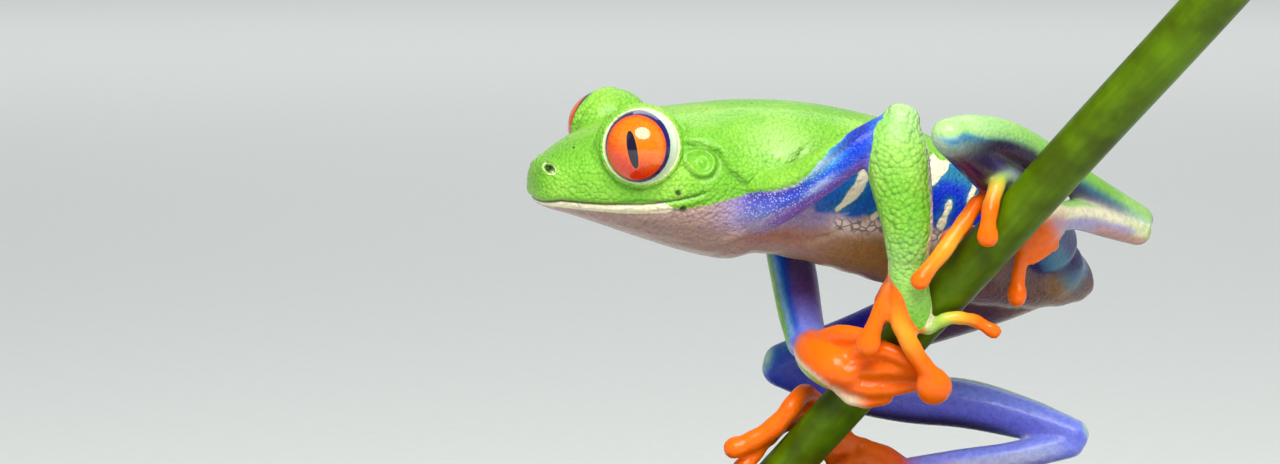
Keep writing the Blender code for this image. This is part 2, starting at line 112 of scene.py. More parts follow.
# How much each limb is flattened sideways, then x, y, z and radius at its stations
LIMBS = {
    "left_upper_arm": (0.95, (
        (-12.0, -4.6, 57.0, 2.9), (-8.7, -8.0, 58.3, 2.7), (-4.8, -10.3, 60.5, 2.2),
        (-0.8, -11.2, 63.3, 2.0), (2.6, -11.2, 65.4, 1.8))),
    "left_forearm": (0.8, (
        (4.45, -11.0, 66.9, 1.9), (4.2, -11.1, 66.1, 2.45), (3.9, -11.3, 65.0, 2.95),
        (3.85, -11.6, 63.5, 3.25), (4.2, -11.9, 61.4, 3.2), (4.6, -12.1, 59.0, 2.95),
        (5.0, -12.2, 56.2, 2.6), (5.1, -11.9, 53.4, 2.2))),
    "left_hand": (0.75, (
        (5.1, -11.7, 52.3, 2.05), (5.3, -11.4, 49.7, 2.05), (6.0, -11.2, 47.2, 1.75),
        (6.4, -11.2, 46.0, 1.3))),
    "right_upper_arm": (1.0, (
        (-14.4, 5.4, 57.4, 2.8), (-11.8, 10.2, 55.5, 2.5), (-8.8, 14.0, 53.8, 2.3),
        (-6.6, 16.4, 52.7, 2.1))),
    "right_forearm": (0.9, (
        (-6.3, 16.5, 52.8, 2.2), (-5.9, 14.0, 50.9, 2.5), (-5.4, 9.8, 48.0, 2.5),
        (-5.0, 5.5, 45.1, 2.35), (-4.5, 1.0, 42.5, 2.1))),
    "right_hand": (1.0, (
        (-4.1, 0.4, 42.2, 1.95), (-3.3, -3.3, 41.5, 2.4), (-1.8, -6.3, 40.7, 2.3),
        (-0.6, -7.2, 40.2, 1.7))),
    "left_thigh": (1.0, (
        (21.0, 5.0, 52.6, 3.3), (17.2, -4.6, 58.3, 2.9), (13.5, -10.1, 61.6, 2.3),
        (10.4, -15.2, 64.2, 2.0), (8.8, -17.8, 65.5, 1.85))),
    "left_shank": (1.0, (
        (8.6, -18.1, 65.7, 1.8), (10.8, -15.7, 65.7, 1.95), (14.8, -11.4, 64.9, 1.9),
        (19.3, -7.0, 62.4, 1.8), (24.4, -2.3, 58.9, 1.7), (30.6, 3.4, 55.2, 1.45))),
    "left_tarsus": (1.0, (
        (30.3, 2.9, 54.0, 1.5), (27.0, 0.0, 55.2, 1.65), (23.2, -4.1, 56.4, 1.55),
        (20.4, -6.7, 56.4, 1.5))),
    "left_foot": (0.7, (
        (19.8, -7.1, 56.2, 1.9), (18.5, -7.5, 55.2, 2.3), (17.5, -7.8, 54.2, 1.7))),
    "right_thigh": (1.0, (
        (22.0, 8.5, 49.5, 3.5), (16.5, 12.4, 46.9, 3.8), (9.0, 14.7, 43.7, 3.4),
        (1.5, 16.0, 40.7, 2.75), (-6.3, 16.9, 38.0, 2.2))),
    "right_shank": (1.0, (
        (-6.5, 16.9, 37.5, 2.15), (-1.0, 16.3, 35.6, 2.35), (6.5, 15.5, 34.3, 2.6),
        (13.5, 14.9, 33.8, 2.7), (20.0, 13.8, 32.3, 2.3), (25.0, 12.7, 30.7, 1.8))),
    "right_tarsus": (1.0, (
        (24.6, 12.5, 29.9, 1.7), (18.5, 11.3, 28.6, 1.6), (12.5, 9.8, 28.0, 1.6),
        (6.8, 7.8, 27.4, 1.6))),
    "right_foot": (0.8, (
        (5.9, 7.5, 27.4, 1.8), (3.7, 6.4, 28.4, 2.3), (1.7, 5.6, 29.6, 1.9))),
}

# Thickness and pad radius of each digit, then its stations: distance up the stem, angle
# round it (0 on the -Y side, 90 below) and height above its surface
DIGITS = {
    "left_finger_1": (0.7, 0.95, ((34.6, -73, 3.1), (32.6, -84, 2.4), (30.3, -106, 1.9),
                                  (28.6, -132, 1.3))),
    "left_finger_2": (0.9, 1.4, ((34.2, -56, 3.5), (32.2, -47, 3.6), (30.0, -36, 3.9),
                                 (28.7, -30, 4.0))),
    "left_finger_3": (0.95, 1.85, ((34.4, -46, 3.3), (32.6, -25, 2.9), (31.5, 2, 2.9),
                                   (30.5, 29, 3.6), (29.3, 45, 4.6))),
    "left_finger_4": (0.68, 0.82, ((33.5, 7, 1.5), (35.3, 18, 1.3), (36.3, 35, 1.4),
                                   (36.6, 63, 1.8), (36.9, 74, 3.8))),
    "right_finger_1": (0.95, 1.2, ((24.6, -59, 1.9), (26.6, -45, 1.5), (28.3, -23, 1.4),
                                   (29.2, 7, 1.4), (28.6, 40, 1.4))),
    "right_finger_2": (0.9, 1.1, ((24.2, -36, 1.8), (26.0, -12, 1.3), (27.7, 14, 1.3),
                                  (28.6, 42, 1.4))),
    "right_finger_3": (0.9, 1.1, ((23.0, -24, 1.7), (24.2, 6, 1.3), (25.5, 32, 1.3),
                                  (26.9, 60, 1.5))),
    "right_finger_4": (0.85, 1.0, ((22.0, -31, 1.5), (22.0, -9, 1.2), (22.7, 14, 1.1),
                                   (24.1, 35, 1.1))),
    "left_toe_1": (0.65, 0.85, ((46.2, 142, 3.0), (45.6, 136, 4.2), (45.4, 134, 5.2))),
    "left_toe_2": (0.7, 0.95, ((45.2, 158, 2.4), (43.5, 180, 1.5), (41.9, 208, 1.2),
                               (41.3, 240, 1.2), (40.9, 268, 1.2))),
    "left_toe_3": (0.72, 1.25, ((45.4, 143, 2.6), (43.2, 131, 2.6), (41.3, 120, 3.2),
                                (39.9, 111, 3.9))),
    "left_toe_4": (0.85, 1.05, ((46.4, 160, 3.2), (45.9, 190, 2.5), (46.2, 226, 1.5),
                                (45.6, 260, 1.3), (44.0, 290, 1.5), (41.4, 314, 2.6),
                                (37.9, 327, 4.3))),
    "left_toe_5": (0.85, 1.15, ((47.6, 158, 3.4), (48.2, 190, 2.6), (49.2, 230, 1.6),
                                (48.8, 276, 1.1), (47.3, 308, 1.1), (45.3, 340, 1.3))),
    "right_toe_1": (0.7, 0.9, ((11.6, 128, 8.0), (10.6, 122, 7.6), (9.7, 118, 7.4))),
    "right_toe_2": (0.85, 1.25, ((11.9, 132, 6.2), (10.8, 121, 5.0), (9.4, 108, 4.6),
                                 (8.3, 100, 4.7))),
    "right_toe_3": (0.85, 1.25, ((12.0, 134, 4.4), (11.3, 104, 1.8), (10.7, 60, 1.2),
                                 (9.6, 22, 1.2), (8.0, 0, 1.0))),
    "right_toe_4": (0.95, 1.3, ((12.3, 146, 4.6), (12.2, 176, 3.4), (12.0, 214, 1.8),
                                (10.6, 250, 1.2), (8.6, 280, 1.3), (6.6, 296, 1.6))),
    "right_toe_5": (1.05, 1.35, ((13.1, 152, 4.6), (14.4, 190, 3.4), (15.6, 226, 2.2),
                                 (14.6, 258, 1.4), (12.2, 276, 1.5), (9.8, 286, 2.5),
                                 (8.2, 289, 3.6))),
}
FLESH_NODES = ("head", "trunk", *LIMBS, *DIGITS)


def hex_linear(text):
    """Linear colour of an sRGB hex value."""
    parts = [int(text[i:i + 2], 16) / 255 for i in (1, 3, 5)]
    return tuple(c / 12.92 if c <= 0.04045 else ((c + 0.055) / 1.055) ** 2.4 for c in parts)


# ---------------------------------------------------------------- settings

def length_setting(name, description, millimetres):
    """A length property, held in metres as Blender's units are."""
    return FloatProperty(name=name, description=description, default=millimetres * MM,
                         min=0.0, precision=5, subtype="DISTANCE", unit="LENGTH")


def colour_setting(name, description, text):
    """A colour property from an sRGB hex value."""
    return FloatVectorProperty(name=name, description=description, default=hex_linear(text),
                               size=3, subtype="COLOR", min=0.0, max=1.0)


def in_millimetres(group):
    """A settings group's values, with its lengths in millimetres."""
    values = {key: getattr(group, key) for key in group.__annotations__}
    for key, value in values.items():
        if group.bl_rna.properties[key].unit == "LENGTH":
            values[key] = round(value / MM, 4)
    return SimpleNamespace(**values)


class FrogSizes(bpy.types.PropertyGroup):
    """Sizes of the skin and its features."""
    voxel: length_setting("Skin voxel", "Grid that fuses the limbs and body into one skin", 0.25)
    lip_groove: length_setting("Mouth groove", "Depth of the closed mouth's line", 0.17)
    lid_height: length_setting("Lid height", "How far the lid ring stands above the eye", 0.42)
    ear_radius: length_setting("Ear disc radius", "Radius of the ring round the ear disc", 1.2)
    flap_height: length_setting("Shoulder flap", "How far the skin flap stands behind the ear", 0.35)
    eye_radius: length_setting("Eye radius", "Radius of the eyeball", 3.85)
    lid_angle: FloatProperty(name="Lid opening", default=math.radians(74), subtype="ANGLE",
                             description="Angle between the gaze and the edge of the lids")
    granule: length_setting("Skin granule", "Width of one granule of the back's skin", 0.38)


class FrogColours(bpy.types.PropertyGroup):
    """Colours of the living skin and eye."""
    leaf: colour_setting("Leaf green", "Back, head and outer side of the limbs", "#78C032")
    lime: colour_setting("Lime", "Lighter green in the middle of the green fields", "#98D24A")
    # Mint is partly the pale skin of the elbows and knees and partly painted highlight on them
    mint: colour_setting("Mint", "Pale bloom on the elbows and knees", "#C4EBCB")
    cream: colour_setting("Cream", "Lip, edge lines and flank bars", "#FAF2CC")
    blue: colour_setting("Deep blue", "Flanks and arms", "#0E32CC")
    cyan: colour_setting("Cyan", "Pale patches of the arms", "#45B4DC")
    violet: colour_setting("Violet", "Inner side of the legs", "#4A36C4")
    # Plum is partly the legs' own dark purple and partly painted shade on the limbs' undersides and
    # in their folds
    plum: colour_setting("Plum", "Hidden folds of the limbs", "#32164A")
    lavender: colour_setting("Lavender", "Where blue meets the throat", "#A596D2")
    throat: colour_setting("Throat", "Throat and breast", "#B8988C")
    belly: colour_setting("Belly", "Belly and underside of the thighs", "#A87E46")
    orange: colour_setting("Orange", "Hands and feet", "#FF6E00")
    # Deep orange is painted shade in the folds and on the undersides of the hands and feet
    ember: colour_setting("Deep orange", "Folds of the hands and feet", "#E24A02")
    iris: colour_setting("Iris", "Middle of the iris", "#FF8200")
    iris_rim: colour_setting("Iris rim", "Lower and outer part of the iris", "#F03400")
    limbus: colour_setting("Eye ring", "Dark ring round the iris", "#1E1460")


BASE_LOW, BASE_HIGH = (Vector(corner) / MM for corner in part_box("stand_base"))


class PerchSizes(bpy.types.PropertyGroup):
    """Sizes of the perch stem and the display stand."""
    lower_radius: length_setting("Lower radius", "Radius of the stem's lower end", 2.35)
    upper_radius: length_setting("Upper radius", "Radius of the stem's upper end", 2.6)
    base_radius: length_setting("Base radius", "Radius of the round base",
                        (BASE_HIGH.x - BASE_LOW.x) / 2)
    base_height: length_setting("Base height", "Thickness of the round base",
                        BASE_HIGH.z - BASE_LOW.z)
    base_round: length_setting("Base edge", "Radius of the rounded rim", 1.2)
    rim_segments: IntProperty(name="Rim segments", default=128, min=12,
                              description="Segments round the base")


class PerchColours(bpy.types.PropertyGroup):
    """Colours of the stem, the stand and the stage."""
    stem: colour_setting("Stem", "Skin of the green stem", "#5E8200")
    stem_shade: colour_setting("Stem streaks", "Darker fibres of the stem", "#3E4E00")
    pith: colour_setting("Pith", "Cut ends of the stem", "#C9CF8C")
    enamel: colour_setting("Enamel", "Satin enamel of the base", "#1C1D1F")
    steel: colour_setting("Steel", "Brushed steel of the rod", "#B4B6B8")
    floor: colour_setting("Floor", "Plain studio floor", "#DCDFDC")


# ---------------------------------------------------------------- lofts

DOME_ANGLES = tuple(math.radians(angle) for angle in (18, 36, 54, 72))
BODY_SIDES = 72
LIMB_SIDES = 32
DIGIT_SIDES = 22
WEB_SIDES = 16
SPAN_STEPS = 6             # rows of a loft between two stations
FOLD_STEPS = 5
ACROSS = (0.0, 1.0, 0.0)


def on_side(centre, side):
    """A feature's centre on the frog's left or right."""
    return Vector((centre.x, centre.y * side, centre.z))


def squared(co, power):
    """Move a point of the unit circle outwards to a superellipse of the given power."""
    return Vector((math.copysign(abs(co.x) ** (2.0 / power), co.x),
                   math.copysign(abs(co.y) ** (2.0 / power), co.y), 0.0))


def add_rings(bm, placements, sides, power=2.0):
    """Bridge rings, each put in place by its matrix, into one closed shell."""
    loops = []
    last = len(placements) - 1
    for index, matrix in enumerate(placements):
        made = bmesh.ops.create_circle(bm, cap_ends=index in (0, last), radius=1.0,
                                       segments=sides)
        for vert in made["verts"]:
            vert.co = matrix @ squared(vert.co, power)
        loops.append(list({edge for vert in made["verts"] for edge in vert.link_edges}))
    for lower, upper in zip(loops, loops[1:]):
        bmesh.ops.bridge_loops(bm, edges=lower + upper)


def smooth_path(stations, steps):
    """Rows on a Catmull-Rom curve through the stations, with `steps` rows a span."""
    knots = np.array(stations, dtype=float)
    padded = np.vstack((2 * knots[0] - knots[1], knots, 2 * knots[-1] - knots[-2]))
    rows = []
    for before, start, end, after in zip(padded, padded[1:], padded[2:], padded[3:]):
        for t in np.arange(steps) / steps:
            rows.append(0.5 * (2 * start + (end - before) * t
                               + (2 * before - 5 * start + 4 * end - after) * t ** 2
                               + (3 * start - before - 3 * end + after) * t ** 3))
    rows.append(knots[-1])
    return np.array(rows)


def tube_row(centre, wide, deep, flat_side):
    """A row of a tube: x, y, z, half width, half depth and the way its depth faces."""
    return (*centre, wide, deep, *flat_side)


def add_tube(bm, rows, sides, tip=0.0):
    """A tube with domed ends; the last dome is `tip` long if that is longer than round."""
    centres = [Vector(row[:3]) for row in rows]
    ahead = [(b - a).normalized() for a, b in zip(centres, centres[1:])]
    tangents = [ahead[0]] + [(a + b).normalized() for a, b in zip(ahead, ahead[1:])]
    tangents.append(ahead[-1])
    rings = [(centre, along, row[3], row[4], Vector(row[5:]))
             for centre, along, row in zip(centres, tangents, rows)]
    for end, sign in ((rings[0], -1.0), (rings[-1], 1.0)):
        centre, along, wide, deep, flat_side = end
        for lean in DOME_ANGLES:
            reach = sign * max(min(wide, deep), tip if sign > 0 else 0.0) * math.sin(lean)
            cap = (centre + along * reach, along, wide * math.cos(lean),
                   deep * math.cos(lean), flat_side)
            rings.insert(0 if sign < 0 else len(rings), cap)
    placements = []
    for centre, along, wide, deep, flat_side in rings:
        across = flat_side.cross(along).normalized()
        inward = along.cross(across)
        turn = Matrix((across * wide, inward * deep, along)).transposed().to_4x4()
        placements.append(Matrix.Translation(centre) @ turn)
    add_rings(bm, placements, sides)


def limb_rows(name):
    """Tube rows of a limb segment."""
    flatness, stations = LIMBS[name]
    return np.array([tube_row(row[:3], row[3], row[3] * flatness, ACROSS)
                     for row in smooth_path(stations, SPAN_STEPS)])


def stem_side(angle):
    """Direction square to the stem at an angle in degrees round it."""
    front = Vector((0.0, -1.0, 0.0))
    front = (front - STEM_AXIS * front.dot(STEM_AXIS)).normalized()
    below = STEM_AXIS.cross(front)
    return front * math.cos(math.radians(angle)) + below * math.sin(math.radians(angle))


KNUCKLE = 0.05             # how much a joint of a digit is thicker than the bone beside it
PAD_LENGTH = 1.35          # of the pad's radius, as the next two are
PAD_FLATNESS = 0.75
PAD_TIP = 0.95


def digit_rows(name, steps=SPAN_STEPS):
    """Tube rows of a digit, with its knuckles and its pad."""
    thickness, pad, stations = DIGITS[name]
    rows = smooth_path(stations, steps)
    sides = [stem_side(row[1]) for row in rows]
    centres = [STEM_LOWER_END + STEM_AXIS * row[0] + side * (GRIP_RADIUS + row[2])
               for row, side in zip(rows, sides)]
    made = []
    for index, (centre, side) in enumerate(zip(centres, sides)):
        from_tip = (centre - centres[-1]).length
        swell = math.sqrt(max(0.0, 1.0 - (from_tip / (PAD_LENGTH * pad)) ** 2))
        joint = 1.0 + KNUCKLE * (math.cos(2 * math.pi * index / steps) if index else 0.0)
        wide = max(thickness * joint, pad * swell)
        deep = max(thickness * joint, pad * swell * PAD_FLATNESS)
        made.append(tube_row(centre, wide, deep, side))
    return np.array(made)


# Thin skin between two digits, and the share of their length that it reaches
WEBS = (
    ("left_toe_4", "left_toe_5", 0.34), ("left_toe_2", "left_toe_4", 0.3),
    ("left_toe_2", "left_toe_3", 0.3), ("left_finger_2", "left_finger_3", 0.42),
    ("right_toe_4", "right_toe_5", 0.8), ("right_toe_3", "right_toe_4", 0.3),
    ("right_finger_1", "right_finger_2", 0.8), ("right_finger_2", "right_finger_3", 0.85),
    ("right_finger_3", "right_finger_4", 0.7),
)
WEB_DEPTH = 0.3


def web_rows(first, second, reach):
    """Tube rows of the web between two digits."""
    fine = 2 * SPAN_STEPS
    pairs = [(Vector(a[:3]), Vector(b[:3]))
             for a, b in zip(digit_rows(first, fine), digit_rows(second, fine))]
    pairs = pairs[:max(3, int(len(pairs) * reach))]
    along = (sum(pairs[-1], Vector()) - sum(pairs[0], Vector())).normalized()
    return [tube_row((start + end) / 2, (start - end).length / 2, WEB_DEPTH,
                     along.cross((end - start).normalized()).normalized())
            for start, end in pairs]


# Loose skin of the feet and heels: thickness, then x, y, z and half width at its stations,
# and the direction across it
FOLDS = (
    (0.55, ((20.6, -6.4, 56.0, 1.6), (18.6, -7.4, 54.6, 2.4), (17.0, -8.0, 53.0, 1.9)),
     (0.75, 0.0, -0.65)),
    (0.8, ((-3.8, 2.5, 32.6, 1.0), (-1.5, 4.0, 31.2, 1.5), (1.6, 6.0, 29.9, 1.7)),
     (-0.5, 0.0, -0.85)),
    (0.8, ((-2.8, -4.6, 43.8, 0.9), (-1.2, -6.8, 44.3, 1.1), (1.0, -8.4, 44.3, 0.9)),
     (0.2, -0.5, 1.0)),
    (1.3, ((29.8, 2.6, 54.7, 1.5), (28.0, 1.0, 55.7, 1.4), (26.0, -0.9, 56.7, 0.9)),
     (0.4, 0.0, 0.9)),
)


def fold_rows(thickness, stations, spread):
    """Tube rows of a fold of loose skin."""
    rows = smooth_path(stations, FOLD_STEPS)
    run = Vector(rows[-1][:3]) - Vector(rows[0][:3])
    flat_side = run.cross(Vector(spread)).normalized()
    return [tube_row(row[:3], row[3], thickness, flat_side) for row in rows]


def body_rows():
    """Rows of distance behind the snout, back height, belly height and half width."""
    return smooth_path(BODY_SECTIONS, SPAN_STEPS)


def add_body(bm):
    """Head and trunk in one loft, with the two eye mounds."""
    placements = []
    for back, top, bottom, half_width in body_rows():
        placements.append(
            BODY_FRAME @ Matrix.Translation((back, 0.0, (top + bottom) / 2))
            @ Matrix.Rotation(math.pi / 2, 4, "Z") @ Matrix.Rotation(math.pi / 2, 4, "X")
            @ Matrix.Diagonal((half_width, (top - bottom) / 2, 1.0, 1.0)))
    add_rings(bm, placements, BODY_SIDES, BODY_SQUARENESS)
    for side in SIDES:
        place = BODY_FRAME @ Matrix.Translation(on_side(MOUND_CENTRE, side))
        bmesh.ops.create_uvsphere(bm, u_segments=48, v_segments=32, radius=1.0,
                                  matrix=place @ Matrix.Diagonal((*MOUND_SIZE, 1.0)))


def flesh_shells():
    """Every fleshy form as overlapping closed shells in one bmesh, in millimetres."""
    bm = bmesh.new()
    add_body(bm)
    for name in LIMBS:
        add_tube(bm, limb_rows(name), LIMB_SIDES)
    for name, (_, pad, _) in DIGITS.items():
        add_tube(bm, digit_rows(name), DIGIT_SIDES, pad * PAD_TIP)
    for web in WEBS:
        add_tube(bm, web_rows(*web), WEB_SIDES)
    for fold in FOLDS:
        add_tube(bm, fold_rows(*fold), DIGIT_SIDES)
    bmesh.ops.recalc_face_normals(bm, faces=bm.faces)
    return bm


# ---------------------------------------------------------------- mesh arrays

FAR = 1e9                  # farther than any point
TINY = 1e-6                # keeps a division away from zero

def evaluated_mesh(obj):
    """The object's mesh with its modifiers applied, replacing the object."""
    mesh = bpy.data.meshes.new_from_object(
        obj.evaluated_get(bpy.context.evaluated_depsgraph_get()))
    old = obj.data
    bpy.data.objects.remove(obj, do_unlink=True)
    bpy.data.meshes.remove(old)
    return mesh


def linked_object(name, data):
    """A new object in the scene."""
    obj = bpy.data.objects.new(name, data)
    bpy.context.scene.collection.objects.link(obj)
    return obj


def mesh_from(bm, name):
    """A mesh made from a bmesh, which is used up."""
    mesh = bpy.data.meshes.new(name)
    bm.to_mesh(mesh)
    bm.free()
    return mesh


def fused(bm, voxel):
    """One closed skin round all the shells."""
    obj = linked_object("shells", mesh_from(bm, "shells"))
    remesh = obj.modifiers.new("fuse", "REMESH")
    remesh.mode = "VOXEL"
    remesh.voxel_size = voxel
    return evaluated_mesh(obj)


def points_of(mesh):
    """Places of the mesh's points, one row each."""
    flat = np.empty(len(mesh.vertices) * 3)
    mesh.vertices.foreach_get("co", flat)
    return flat.reshape(-1, 3)


def set_points(mesh, points):
    """Move the mesh's points to the places given."""
    mesh.vertices.foreach_set("co", np.ascontiguousarray(points).ravel())
    mesh.update()


def normals_of(mesh):
    """Outward directions at the mesh's points."""
    flat = np.empty(len(mesh.vertices) * 3, dtype=np.float32)
    mesh.vertex_normals.foreach_get("vector", flat)
    return flat.reshape(-1, 3).astype(float)


def store(mesh, name, values):
    """Write one value or vector per point as an attribute."""
    values = np.asarray(values, dtype=np.float32)
    kind, key = ("FLOAT", "value") if values.ndim == 1 else ("FLOAT_VECTOR", "vector")
    layer = mesh.attributes.new(name, kind, "POINT")
    layer.data.foreach_set(key, np.ascontiguousarray(values).ravel())


SHRINK_AND_GROW = (0.5, -0.53)


def smoothed(mesh, rounds):
    """Taubin smoothing: takes the voxel steps out and keeps the volume."""
    edges = np.empty(len(mesh.edges) * 2, dtype=np.int64)
    mesh.edges.foreach_get("vertices", edges)
    start, end = edges.reshape(-1, 2).T
    count = len(mesh.vertices)
    degree = np.maximum(np.bincount(start, minlength=count)
                        + np.bincount(end, minlength=count), 1)
    points = points_of(mesh)
    for factor in SHRINK_AND_GROW * rounds:
        mean = np.empty_like(points)
        for axis in range(3):
            mean[:, axis] = (np.bincount(start, points[end, axis], count)
                             + np.bincount(end, points[start, axis], count)) / degree
        points += factor * (mean - points)
    set_points(mesh, points)


def placed(points, matrix):
    """Rows of points moved by a matrix."""
    array = np.array(matrix)
    return points @ array[:3, :3].T + array[:3, 3]


def in_body(points):
    """Points in the body frame: behind the snout, to the frog's right, up."""
    return placed(points, BODY_FRAME.inverted())


def mirrored(local):
    """The points with the frog's left side laid over its right."""
    return np.column_stack((local[:, 0], np.abs(local[:, 1]), local[:, 2]))


def ramp(value, low, high):
    """Smooth step from 0 at low to 1 at high."""
    t = np.clip((value - low) / (high - low), 0.0, 1.0)
    return t * t * (3 - 2 * t)


def fall(value, low, high):
    """Smooth step from 1 at low to 0 at high."""
    return 1 - ramp(value, low, high)


def between(value, start, full, fading, end):
    """1 between full and fading, easing to 0 at start and end."""
    return ramp(value, start, full) * fall(value, fading, end)


def bell(distance, width):
    """1 at no distance, falling away to either side."""
    return np.exp(-(distance / width) ** 2)


def touch(clearance, reach=0.3):
    """Weight of a form that is this far away: 1 inside it, falling away outside."""
    return np.exp(-np.maximum(clearance, 0.0) / reach)


def along_line(back, height, line):
    """Distance to a line on the side of the body, side of it and place along it."""
    knots = np.array(line)
    best = np.full(len(back), FAR)
    side = np.zeros(len(back))
    place = np.zeros(len(back))
    for index, (start, end) in enumerate(zip(knots, knots[1:])):
        run = end - start
        offset_a, offset_b = back - start[0], height - start[1]
        t = np.clip((offset_a * run[0] + offset_b * run[1]) / (run @ run), 0.0, 1.0)
        away = np.hypot(offset_a - t * run[0], offset_b - t * run[1])
        closer = away < best
        best[closer] = away[closer]
        cross = run[0] * offset_b - run[1] * offset_a
        side[closer] = np.sign(cross[closer])
        place[closer] = (index + t[closer]) / (len(knots) - 1)
    return best, side, place


# ---------------------------------------------------------------- the body's lines

# Heights of lines on the side of the body against the distance behind the snout
MOUTH = ((0.0, -2.0), (0.9, -2.1), (2.5, -1.7), (4.6, -1.8), (6.6, -1.8), (10.0, -1.6),
         (11.6, -1.4), (12.9, -1.2), (14.7, -0.8), (16.8, -0.2))
LOWER_LIP = ((0.0, -2.5), (2.7, -2.5), (5.7, -2.7), (8.0, -2.8), (10.2, -2.7), (12.4, -2.5),
             (14.6, -1.9), (16.9, -1.6), (17.9, -1.3), (20.0, -0.9), (21.2, -0.6))
FLANK_TOP = ((21.0, -0.6), (24.0, -0.5), (27.0, 0.6), (31.0, 1.6), (36.0, 2.4), (42.0, 2.3),
             (48.0, 0.2), (54.0, -4.0), (58.0, -7.0), (62.0, -10.0))
FLANK_FOOT = ((21.0, -1.2), (25.0, -1.8), (27.0, -2.2), (30.0, -3.0), (33.0, -3.4),
              (37.0, -3.6), (42.0, -4.9), (47.0, -6.5), (52.0, -8.5), (58.0, -11.0),
              (62.0, -12.0))
# Creases of the skin
EAR_FOLD = ((14.3, 4.7), (15.4, 4.2), (17.7, 3.5), (18.6, 1.7), (20.0, 0.6), (21.2, -0.3))
FLAP_EDGE = ((19.4, -0.7), (20.9, -0.3), (22.6, 0.2), (24.2, 0.9), (25.7, 2.3), (26.6, 3.5),
             (27.6, 4.6), (29.0, 5.8), (30.5, 7.0))
ARMPIT_FOLD = ((25.4, -5.6), (27.2, -4.2), (29.1, -2.8))
SIDE_FOLD = ((25.6, -5.6), (28.0, -6.1), (29.6, -5.6), (31.2, -4.7), (34.0, -5.3),
             (38.0, -6.8))
BREAST_FOLD = ((28.9, -2.4), (25.6, -3.8), (22.6, -5.1), (19.9, -6.3), (18.6, -8.5))
# How far each fold of the throat lies above the middle one, and its depth
THROAT_FOLDS = ((0.0, 0.10), (1.505, 0.08), (-1.26, 0.07))
NOSTRIL = (1.5, 2.9, 1.4)
EAR = (15.9, 9.1, 2.7)
GAZES = {side: Vector(gaze).normalized()
         for side, gaze in zip(SIDES, ((-0.274, -0.9455, 0.176), (-0.56, 0.81, 0.176)))}
# Distance behind the snout, height and radius of the dark specks of the cheek
SPECKS = ((13.3, -0.3, 0.42), (13.9, -2.0, 0.45), (16.2, -5.0, 0.32))
BODY_END = BODY_SECTIONS[-1][0]
MOUND_REACH = 4.3          # mean radius of an eye mound


def line_height(back, line):
    """Height of a line of the body at each distance behind the snout."""
    return np.interp(back, *np.array(line).T)


def section_at(back):
    """Back height, belly height and half width of the body at a distance behind the snout."""
    rows = body_rows()
    return [np.interp(back, rows[:, 0], rows[:, column]) for column in (1, 2, 3)]


def body_clearance(local):
    """Rough distance outside the head and trunk, from their sections."""
    back, side, height = mirrored(local).T
    top, bottom, half_width = section_at(back)
    half_height = (top - bottom) / 2
    power = BODY_SQUARENESS
    level = ((side / half_width) ** power
             + np.abs((height - (top + bottom) / 2) / half_height) ** power) ** (1 / power)
    clearance = (level - 1) * np.minimum(half_width, half_height)
    clearance = np.where(back < 0, np.maximum(clearance, -back), clearance)
    past_end = np.maximum(clearance, back - BODY_END)
    clearance = np.where(back > BODY_END, past_end, clearance)
    mound = mirrored(local) - np.array(MOUND_CENTRE)
    level = np.linalg.norm(mound / np.array(MOUND_SIZE), axis=1)
    return np.minimum(clearance, (level - 1) * MOUND_REACH)


def eye_polar(local, side):
    """Offset and distance from an eye's centre, and angle from its gaze in degrees."""
    offset = local - np.array(on_side(EYE_CENTRE, side))
    reach = np.linalg.norm(offset, axis=1)
    turn = offset @ np.array(GAZES[side]) / np.maximum(reach, TINY)
    return offset, reach, np.degrees(np.arccos(np.clip(turn, -1, 1)))


def lid_edge(offset, opening, front):
    """Angle of the lids' edge, wider in front of the iris and behind it."""
    back, _, up = (offset / np.maximum(np.linalg.norm(offset, axis=1), TINY)[:, None]).T
    return (opening + 6.0 * ramp(back * 0.8 + up * 0.6, 0.2, 0.9) - 2.0 * ramp(-up, 0.3, 1.0)
            + front * ramp(-back, 0.4, 0.95))


LID_FRONT = dict(zip(SIDES, (1.0, -5.0)))   # degrees that the lids open wider in front
LID_CREASE = 0.26                      # depth of the furrow round the lids
LID_TUCK = 0.5                         # how far the skin dives under the eyeball


def sculpt_lids(local, sizes):
    """Open the skin over each eye and roll its edge into lids."""
    radius = sizes.eye_radius
    for side in SIDES:
        offset, reach, angle = eye_polar(local, side)
        past = angle - lid_edge(offset, math.degrees(sizes.lid_angle), LID_FRONT[side])
        inside = np.minimum(reach, radius - LID_TUCK)
        ring = radius + sizes.lid_height * (0.55 + 0.45 * bell(past - 8.0, 7.0))
        target = inside + (ring - inside) * ramp(past, -1.0, 4.0)
        hold = fall(past, 12.0, 26.0) * fall(reach, radius + 1.0, radius + 2.0)
        moved = reach + (target - reach) * hold
        outer = fall(reach, radius + 1.4, radius + 2.6)
        moved -= LID_CREASE * bell(past - 19.0, 3.6) * outer
        local += offset * ((moved - reach) / np.maximum(reach, TINY))[:, None]


def feature_distance(local, centre):
    """Distance from a feature on either side, counting little of that across the body."""
    away = (mirrored(local) - np.array(centre)) * np.array((1.0, 0.25, 1.0))
    return np.linalg.norm(away, axis=1)


